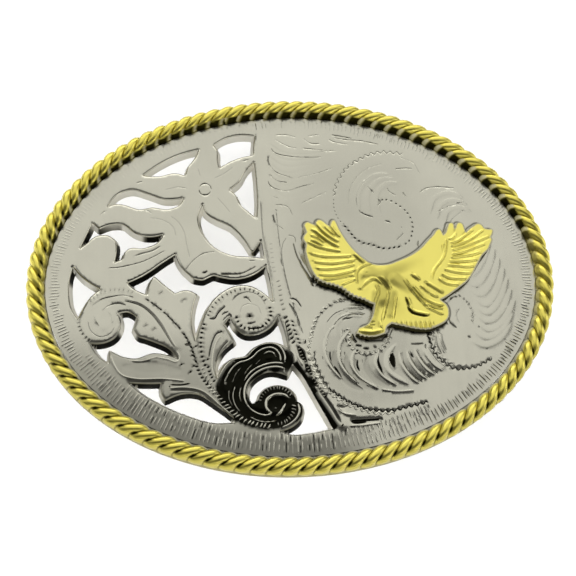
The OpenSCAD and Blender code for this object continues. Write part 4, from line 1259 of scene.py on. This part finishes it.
def clearProbes(tree, spot, lean, distances):
    # points at these distances from a spot of an outline, unless another part of it is nearer
    probes = [(spot + lean * away, away) for away in distances]
    return [probe for probe, away in probes if tree.find((*probe, 0))[2] > away * carveSet["probeShare"]]


def openingPlan(openings, edgeTree):
    # the feet of the openings' walls, the lines where the walls start, and loose points
    bottoms, walls, loose = [], [], []
    inset = faceSet["wallInset"]
    for opening in openings:
        bottom, wall = [], []
        for i, spot in enumerate(opening):
            lean = sideways(opening, i, closed=True)
            for share in faceSet["insetShares"]:
                probe = spot + lean * inset * share
                if edgeTree.find((*probe, 0))[2] > inset * share - faceSet["insetSlack"]:
                    break
            if share == faceSet["insetShares"][0]:
                bottom.append(probe)
            elif share > faceSet["insetShares"][-1]:
                loose.append(probe)
            wall.append(spot + lean * faceSet["wallLine"])
            loose += clearProbes(edgeTree, spot, -lean, (faceSet["lipLine"], faceSet["lipWidth"]))
        bottoms.append(bottom)
        walls.append(wall + wall[:1])
    return bottoms, walls, loose


def wallTone(facing, y):
    # painted shade: how dark the wall of an opening is, by the way it faces and its place up the buckle
    high = smoothStep(*faceSet["wallHigh"], y)
    (lowX, addX), (lowY, addY) = faceSet["facingX"], faceSet["facingY"]
    dim = facing.x * (lowX + addX * high) + facing.y * (lowY + addY * high)
    bright = smoothStep(*faceSet["wallBright"], y)
    return smoothStep(*faceSet["wallDim"], dim) * (faceSet["wallDark"] - bright)


def makeFace(material):
    outlines = [curveThrough(outline, carveSet["outlineStep"], closed=True)
                for outline in nodeOutlines("face_plate")]
    rim, *openings = outlines
    edgeTree, inward = outlineTree(openings)
    rows = faceRows()
    cuts = layCuts(rows)
    print("face:", len(rows), "cuts")
    bottoms, walls, loose = openingPlan(openings, edgeTree)
    raisedBands = layBands([(divider["half"], divider["height"], *divider["path"]), *swells])
    wallBands = layBands(leafBands)
    darkBands = layBands([*leafBands, *fieldBands])
    core = faceSet["bandCore"]

    def lift(x, y):
        level = domeHeight(x, y)
        spot, index, away = edgeTree.find((x, y, 0))
        facing = inward[index]
        within = (x - spot.x) * facing.x + (y - spot.y) * facing.y
        if within > faceSet["wallFrom"]:
            share = min(1.0, away / faceSet["wallInset"])
            drop = faceSet["lip"] + (oval["plate"] - faceSet["lip"]) * share
            # the wall is painted dark as shade where it faces away from the light, and shows light raw
            # metal as a painted reflection elsewhere
            patinaAndShade = wallTone(facing, y) * smoothStep(*faceSet["wallSpan"], within)
            patinaAndShade = min(1.0, max(patinaAndShade, bandAt(wallBands, x, y, core)))
            return level - drop, patinaAndShade, 1 - patinaAndShade
        raised = bandAt(raisedBands, x, y, faceSet["raisedCore"])
        sunk, lifted, dark, polish = cutAt(cuts, x, y)
        sunk *= max(0.0, 1 - polish)
        fall = max(0.0, 1 - away / faceSet["pillowWidth"]) ** 2 * faceSet["pillow"]
        fall += max(0.0, 1 - away / faceSet["lipWidth"]) ** 2 * faceSet["lip"]
        # painted shade beside the openings in the lower half
        edge = faceSet["edgeDark"] * smoothStep(*faceSet["edgeLow"], -y)
        edge *= 1 - smoothStep(*faceSet["edgeSpan"], away)
        height = level + raised + lifted * faceSet["ridge"] - sunk - fall
        # darkness from the cuts' dark finish, the painted shade beside the openings, the broad darker tones
        # and the bands, which paint shadows under the eagle and a dark reflection on the leaf
        patinaAndShade = max(dark, edge, broadDarkTone(x, y), bandAt(darkBands, x, y, core))
        return height, min(1.0, patinaAndShade * max(0.0, 1 - polish * faceSet["polishGain"])), 0.0

    rings = [rim, *openings, *bottoms]
    openRings = set(range(1 + len(openings), len(rings)))
    bm = carvePiece(rings, openRings, [*walls, *cuts["lines"]], loose, faceSet["gridStep"], lift,
                    lambda x, y: domeHeight(x, y) - oval["plate"], lambda x, y: 0.0)
    finishPiece(bm, "faceLook", material, faceSet["sharpFrom"], "silver_face", "face_plate")


# Eagle

eagleSet = {
    "wing": 1.8,
    "body": 2.18,
    "least": 0.3,
    "gridStep": 0.24,
    "outlineStep": 0.2,
    "rimLines": (0.1, 0.22, 0.36),  # the plan has points this far inside the outline
    "edgeWidth": 0.2,
    "edgeShare": 0.9,  # share of its height that the eagle keeps at its outline
    "edgeSpan": (0.16, 0.34),  # mm from the outline over which the tones of the edge end
    # painted shade: a dark line along the outline on the top
    "edgeDark": 0.5,
    "edgeRaw": 0.8,  # the gold is thin on the very edge
    "wallDark": 1.05,
    "wallSpan": (0.3, 0.6),  # its walls are painted dark as shade where they face down the buckle this much
    "tooth": 0.13,  # size and pitch of the teeth along the lower edge of the left wing
    "toothPitch": 0.8,
    "toothFacing": (0.3, 0.6),
    "toothReach": ((3.0, 4.5), (12.0, 14.0)),  # along x
    "cutWidth": 1.6,  # the widths, depths and darknesses below are taken times these
    "cutDepth": 0.45,
    "cutDark": 0.5,
    "longCut": 1.6,  # a cut longer than this has a ridge on its upper side
    "ridgeShift": 0.42,
    "ridgeHeight": 0.16,
    "ridgePolish": 0.2,
    "bodyDark": 0.3,
    "bodySpan": 0.22,  # height above the wings over which that comes in
    "outlineCut": (0.56, 0.04, 0.8),  # width, depth and darkness of the shallow line round the eagle on the face, dark as a painted shadow
    "parallax": 0.75,  # the camera sees points of the top this far up the face
    "lean": 0.07,  # and the lower ones to the right by this share
    "sharpFrom": 50.0,  # degrees
}
# Outline of the top as the camera sees it
eagleOutline = [
    (8.6, 10.7), (8.3, 11.3), (7.8, 11.4), (7.4, 11), (7.1, 10.2), (6.6, 10.6), (6, 11.2), (5.5, 11.5),
    (4.9, 11.5), (4.5, 11.1), (4.3, 10.5), (3.7, 10.8), (3, 11.1), (2.4, 10.9), (2.1, 10.3), (2.3, 9.6),
    (2.5, 8.9), (2.1, 8.4), (1.8, 7.8), (1.9, 7.2), (2.3, 6.4), (2.1, 5.4), (2.2, 4.1), (2.5, 2.8),
    (3, 1.2), (3.6, 0), (4.4, -0.9), (5.6, -1.5), (7.2, -2), (8.7, -2.7), (10.8, -4.2), (13, -5.1),
    (14.7, -6.1), (14.3, -8.2), (13.4, -9.7), (11.7, -10.4), (11.3, -11.4), (12.2, -11.9), (14.6, -12.2),
    (16.8, -11.7), (17.2, -10.4), (18, -9.8), (20, -10.3), (22.4, -10.9), (24.9, -11.1), (26.5, -10.6),
    (28.6, -9.3), (29, -7.7), (28.6, -6.4), (27.5, -5.4), (28.3, -5), (29.8, -4), (31.3, -2.9),
    (32.7, -1.8), (33.8, -0.4), (34.7, 1.1), (35.4, 2.2), (36.2, 3.4), (37.5, 4.6), (38, 5.5), (38.4, 6.2),
    (38.6, 6.7), (38.4, 7.2), (38.8, 7.9), (39, 8.6), (38.7, 9), (37.9, 9), (37.3, 9.2), (36.9, 9.8),
    (36.3, 10.2), (35.7, 10.1), (35.1, 9.7), (34.2, 9.1), (33.5, 8.4), (33.4, 8.9), (33.3, 9.5),
    (33.1, 10.1), (32.7, 10.4), (32.1, 10.4), (31.7, 10), (31.4, 9.2), (31.4, 9.8), (31.2, 10.3),
    (30.7, 10.4), (30.2, 10.2), (29.9, 9.6), (29.4, 8.4), (29, 7.9), (28.8, 8.6), (28.6, 9), (28.2, 9.1),
    (27.6, 8.8), (27, 8), (25.9, 6.9), (24, 5), (22, 3.7), (19.7, 2.7), (17.6, 2), (14.7, 2.2), (12.8, 3.6),
    (11.3, 5.3), (9.9, 7.6), (9, 9.5),
]
# Columns: x, y, half width and height share at each of the two ends
limbs = [
    (16.4, -0.6, 2, 1, 16.4, -5.6, 2.4, 1), (17.2, -5.4, 2.4, 1, 19.4, -7.6, 1.8, 0.85),
    (17, -0.6, 2, 0.95, 23.5, 1.9, 1.8, 0.85), (23.5, 1.9, 1.8, 0.85, 27.2, 5, 1.7, 0.8),
    (21, -1.7, 1.8, 0.85, 26.8, 1.2, 1.6, 0.8), (24, -1.4, 1.6, 0.8, 28, 3.6, 1.5, 0.8),
    (18.6, -1.6, 2, 1, 21.4, -3.6, 1.6, 0.9), (14.6, 0.2, 1.5, 0.9, 11.8, 2.9, 1.1, 0.85),
    (11.8, 2.9, 1.1, 0.85, 9.2, 6.9, 0.65, 0.8), (11.6, 0.4, 1.5, 0.85, 13, -3.4, 1.6, 0.85),
    (13.3, -0.6, 1.4, 0.92, 15.2, -0.6, 1.8, 0.95), (12.7, -0.9, 0.9, 0.95, 12, -2.6, 0.4, 0.8),
    (15.4, -4.6, 1.6, 1, 14.6, -9, 1.2, 0.9), (14.2, -9.8, 1.1, 0.9, 12, -11.2, 0.9, 0.8),
    (14.6, -9.8, 1.1, 0.9, 15.3, -11.6, 0.85, 0.8), (12.4, -11.4, 0.8, 0.8, 15.2, -11.8, 0.8, 0.8),
    (18, -4.8, 1.7, 0.95, 17.7, -8.6, 1.2, 0.9), (22.5, -2.2, 1.4, 0.75, 26.4, -4.6, 0.7, 0.55),
]
# Columns: width, depth, darkness, then the points where the camera sees them on the top
eagleCuts = [
    (0.32, 0.3, 0.7, (6.9, 10.3), (7.6, 9), (8.8, 7.2)),
    (0.4, 0.35, 0.75, (4.1, 10.8), (5.2, 9.2), (6.6, 7.8), (8.6, 6.3)),
    (0.28, 0.2, 0.4, (5.6, 10), (6.9, 8.6), (8, 7.6)),
    (0.5, 0.4, 0.85, (3.2, 9.3), (4.2, 8.7), (5.4, 7.6), (6.8, 6.4), (8.6, 5.3)),
    (0.28, 0.2, 0.4, (2.9, 8), (4.4, 7.4), (6, 6.2)),
    (0.38, 0.3, 1, (3, 7), (4, 6.7), (5, 6), (5.8, 5.4)),
    (0.42, 0.35, 0.85, (2.4, 6.7), (4, 5.8), (5.5, 5.2), (7, 4.8), (8.9, 4.4)),
    (0.4, 0.3, 1.1, (2.5, 4.6), (4, 4.3)),
    (0.38, 0.3, 0.6, (2.8, 4.2), (5, 3.6), (7, 3.4), (9.5, 3.4), (11, 3.5)),
    (0.36, 0.3, 1, (3.1, 3), (4, 2.8)),
    (0.38, 0.3, 0.6, (3.4, 2.5), (6, 2.1), (8, 2.1), (10, 2.4), (11.6, 2.6)),
    (0.36, 0.3, 1, (3.6, 1.5), (4.6, 1.3)),
    (0.38, 0.3, 0.55, (3.8, 1.1), (6, 0.9), (8.5, 1.1), (11.5, 1.7)),
    (0.36, 0.3, 0.9, (4.1, 0.1), (5.2, -0.2)),
    (0.36, 0.28, 0.5, (4.6, -0.2), (7, -0.3), (9.5, 0.1), (11.5, 0.6)),
    (0.3, 0.25, 0.8, (5, -1.1), (7.2, -1.1)),
    (0.26, 0.2, 0.3, (6.6, -1.2), (8.8, -0.8), (11.2, -0.4)),
    (0.26, 0.2, 0.3, (8.6, -2.4), (10.2, -1.7), (11.6, -1.2)),
    (0.4, 0.4, 1.3, (11, 4.1), (12, 3), (13, 1.9)),
    (0.3, 0.3, 0.8, (14.9, 1.9), (13.5, 1.6), (12.5, 1.1), (11.8, 0.3), (11.7, -0.8), (11.8, -2.2)),
    (0.4, 0.35, 1.2, (11.7, -3), (12.5, -3.1)),
    (0.46, 0.35, 0.8, (12.5, -3), (13.4, -2), (14.3, -1.4), (15, -1.4), (15.6, -1.9), (16.3, -2.7)),
    (0.2, 0.2, 1.4, (13.3, 0.3), (13.55, 0.3)),
    (0.62, 0.6, 1.6, (15.5, -0.8), (16.5, -1.6), (17.2, -2.6), (17.8, -3.6)),
    (0.26, 0.2, 0.4, (14.8, -2.2), (15.2, -3.4)),
    (0.24, 0.3, 1.1, (15.5, -2), (15.8, -3.7), (15.1, -6), (14.4, -8.4)),
    (0.24, 0.3, 1.2, (17.8, -3.5), (17.4, -5.6), (16.8, -7.9), (16.4, -9.3)),
    (0.24, 0.3, 1.1, (19.2, -4.5), (18.8, -6.8), (18.4, -9.2)),
    (0.6, 0.2, 0.9, (11.7, -11.3), (12.6, -11.6), (14.6, -11.8), (16.5, -11.3)),
    (0.3, 0.2, 0.6, (12.6, -10.5), (13.6, -10.6), (14.4, -10.9)),
    (0.3, 0.2, 0.6, (15.6, -9.2), (15.5, -10.2), (15.9, -10.9)),
    (0.26, 0.2, 0.4, (13.9, -9.7), (15.1, -9.4)),
    (0.26, 0.2, 0.4, (13.8, -10.2), (15, -10.1)),
    (0.3, 0.3, 0.7, (29.7, 6.9), (29.4, 5), (28.7, 3), (27.9, 1.9), (26.9, 0.8), (26.3, -0.3), (26, -1.6)),
    (0.26, 0.2, 0.35, (29, 6), (28.8, 4)),
    (0.34, 0.3, 0.8, (31.5, 9.2), (31.1, 8.2)),
    (0.3, 0.3, 0.6, (33.4, 8.4), (32.6, 7.6)),
    (0.4, 0.35, 1.2, (28, -4.5), (26.6, -3.5), (25, -2.4), (24.4, -1.9)),
    (0.36, 0.3, 1, (24.2, -1.8), (25.1, -1.8)),
    (0.4, 0.4, 1.4, (21.5, -0.3), (22.5, -0.9), (23.5, -1.9)),
    (0.3, 0.2, 0.6, (21.8, 0.2), (22.5, -0.3)),
    (0.24, 0.3, 1.1, (20.3, -1.2), (21.5, -3.3), (23.1, -5.2), (24.8, -7.2)),
    (0.34, 0.25, 0.9, (21.1, -3), (21.6, -3.6)),
    (0.34, 0.25, 0.9, (22.8, -4.7), (23.4, -5.4)),
    (0.3, 0.25, 0.45, (23.2, -2.6), (25, -4.2), (26.9, -5.4)),
    (0.34, 0.28, 0.5, (21.8, -2.6), (24, -5.2), (26, -6.4), (27.9, -6.9)),
    (0.28, 0.22, 0.35, (24, -6.4), (26, -7.1), (27.9, -7.6)),
    (0.3, 0.28, 0.6, (24.6, -7.1), (26.5, -8.1), (27.8, -8.8)),
    (0.36, 0.5, 1.8, (20.6, -4.6), (21, -5.6), (21.4, -7)),
    (0.44, 0.5, 2, (20.9, -6.5), (21.8, -7.7), (23.4, -8.3), (25.2, -8.6)),
]
tailFlutes = [
    (0.5, 0.4, 0.4, (x, -9.4), (x + 0.1, -11.6)) for x in (18.9, 19.8, 20.7, 21.6, 22.5, 23.4, 24.3, 25.2)
]
wingFlutes = (1, 0.34, 0.3, 0.3, [
    [(30, 6.6), (30.6, 6.6), (31.2, 7.1), (31.7, 7.8)],
    [(30.1, 5.7), (31.6, 6.1), (33.3, 7.2), (35.2, 8.6)],
    [(30.1, 5), (32.3, 5.6), (34.9, 6.8), (37.2, 8.5)],
    [(30.2, 4.2), (32.7, 4.9), (35.6, 6), (38.2, 7.1)],
    [(30, 3.3), (32.4, 3.8), (34.9, 4.7), (37.2, 5.5)],
    [(29.8, 2.7), (31.7, 2.9), (33.8, 3.2), (36.2, 3.8)],
    [(29.3, 2), (31.3, 1.9), (33.3, 2), (35.2, 2.2)],
    [(28.8, 1.2), (30.8, 1), (32.6, 0.8), (34.4, 0.9)],
    [(28.1, 0.4), (30.1, -0.2), (31.9, -0.5), (33.6, -0.5)],
    [(27.4, -0.5), (29.2, -1.4), (30.8, -1.6), (32.6, -1.7)],
    [(26.8, -1.3), (28.3, -2.4), (29.7, -2.8), (31.2, -2.8)],
    [(26.4, -2.2), (27.4, -3.2), (28.6, -3.7), (29.6, -4)],
])


def eagleHeight(x, y):
    # the wings with the limbs blended onto them
    total = 0.0
    for ax, ay, halfA, heightA, bx, by, halfB, heightB in limbs:
        dx, dy = bx - ax, by - ay
        t = min(1.0, max(0.0, ((x - ax) * dx + (y - ay) * dy) / (dx * dx + dy * dy)))
        away = sqrt((x - ax - dx * t) ** 2 + (y - ay - dy * t) ** 2) / (halfA + (halfB - halfA) * t)
        rise = eagleSet["body"] * (heightA + (heightB - heightA) * t) - eagleSet["wing"]
        if away < 1 and rise > 0:
            total += (rise * smoothStep(0, 1, 1 - away)) ** 3
    return eagleSet["wing"] + total ** (1 / 3)


def seenPlace(x, y):
    # where a point of the top is that the camera sees at x, y
    return x + eagleSet["lean"] * min(0.0, y), y - eagleSet["parallax"]


def toothed(outline):
    first, last = eagleSet["toothReach"]
    lengths = alongLine(outline)
    teeth = []
    for i, spot in enumerate(outline):
        lean = sideways(outline, i, closed=True)
        share = smoothStep(*eagleSet["toothFacing"], lean.y) * smoothStep(*first, spot.x)
        share *= 1 - smoothStep(*last, spot.x)
        wave = sin(lengths[i] * 2 * pi / eagleSet["toothPitch"])
        teeth.append(spot + lean * share * eagleSet["tooth"] * wave)
    return teeth


def eagleRows():
    rows = []
    for width, depth, dark, *points in [*eagleCuts, *tailFlutes, *flowRows(*wingFlutes)]:
        width *= eagleSet["cutWidth"]
        rows.append((width, depth * eagleSet["cutDepth"], dark * eagleSet["cutDark"],
                     *[seenPlace(*spot) for spot in points]))
        whole = Vector(points[-1]) - Vector(points[0])
        if whole.length > eagleSet["longCut"]:
            way = whole.normalized() * eagleSet["ridgeShift"]
            over = Vector((-way.y, way.x)) * (1 if way.x > 0 else -1)
            rows.append((width, -eagleSet["ridgeHeight"], -eagleSet["ridgePolish"],
                         *[seenPlace(x + over.x, y + over.y) for x, y in points]))
    return rows


def makeEagle(material):
    outline = [seenPlace(*spot) for spot in eagleOutline]
    outline = toothed(curveThrough(outline, eagleSet["outlineStep"], closed=True))
    edgeTree, inward = outlineTree([outline])
    cuts = layCuts(eagleRows())
    loose = []
    for i, spot in enumerate(outline):
        loose += clearProbes(edgeTree, spot, sideways(outline, i, closed=True), eagleSet["rimLines"])

    def lift(x, y):
        away = edgeTree.find((x, y, 0))[2]
        edgeShare = eagleSet["edgeShare"]
        keep = edgeShare + (1 - edgeShare) * sqrt(min(1.0, away / eagleSet["edgeWidth"]))
        sunk, lifted, dark, _ = cutAt(cuts, x, y)
        form = eagleHeight(x - eagleSet["lean"] * min(0.0, y), y)
        height = max(eagleSet["least"], form * keep + lifted - sunk)
        body = eagleSet["bodyDark"] * smoothStep(0.0, eagleSet["bodySpan"], form - eagleSet["wing"])
        # painted shade along the outline, where the gold is also worn thin to raw metal
        edge = 1 - smoothStep(*eagleSet["edgeSpan"], away)
        dark = max(dark, body, eagleSet["edgeDark"] * edge)
        return domeHeight(x, y) + oval["seat"] + height, min(1.0, dark), eagleSet["edgeRaw"] * edge

    # painted shade on the walls that face down the buckle
    def wallShade(x, y):
        outwardY = -inward[edgeTree.find((x, y, 0))[1]].y
        return eagleSet["wallDark"] * smoothStep(*eagleSet["wallSpan"], -outwardY)

    bm = carvePiece([outline], set(), cuts["lines"], loose, eagleSet["gridStep"], lift,
                    lambda x, y: domeHeight(x, y) + oval["seat"], wallShade)
    finishPiece(bm, "eagleLook", material, eagleSet["sharpFrom"], "gold_figure", "eagle_figure")


camera = makeCamera()
makeStudio(camera)
silver = platedMetal("agedSilver", **finishSet["silver"])
eagleGold = platedMetal("lemonGold", **finishSet["eagleGold"])
ropeGold = platedMetal("ropeGold", **finishSet["ropeGold"], rawColour=finishSet["ropeInside"])
backMetal = platedMetal("plainNickel", **finishSet["back"])
print("camera, floor and light stand")
makeRope(ropeGold)
makeFace(silver)
makeEagle(eagleGold)
for node in ("belt_loop", "hook_stud"):
    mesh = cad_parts[node].data
    mesh.materials.clear()
    mesh.materials.append(backMetal)

plain = [[list(map(float, corner)) for corner in box] for box in (cadBox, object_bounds())]
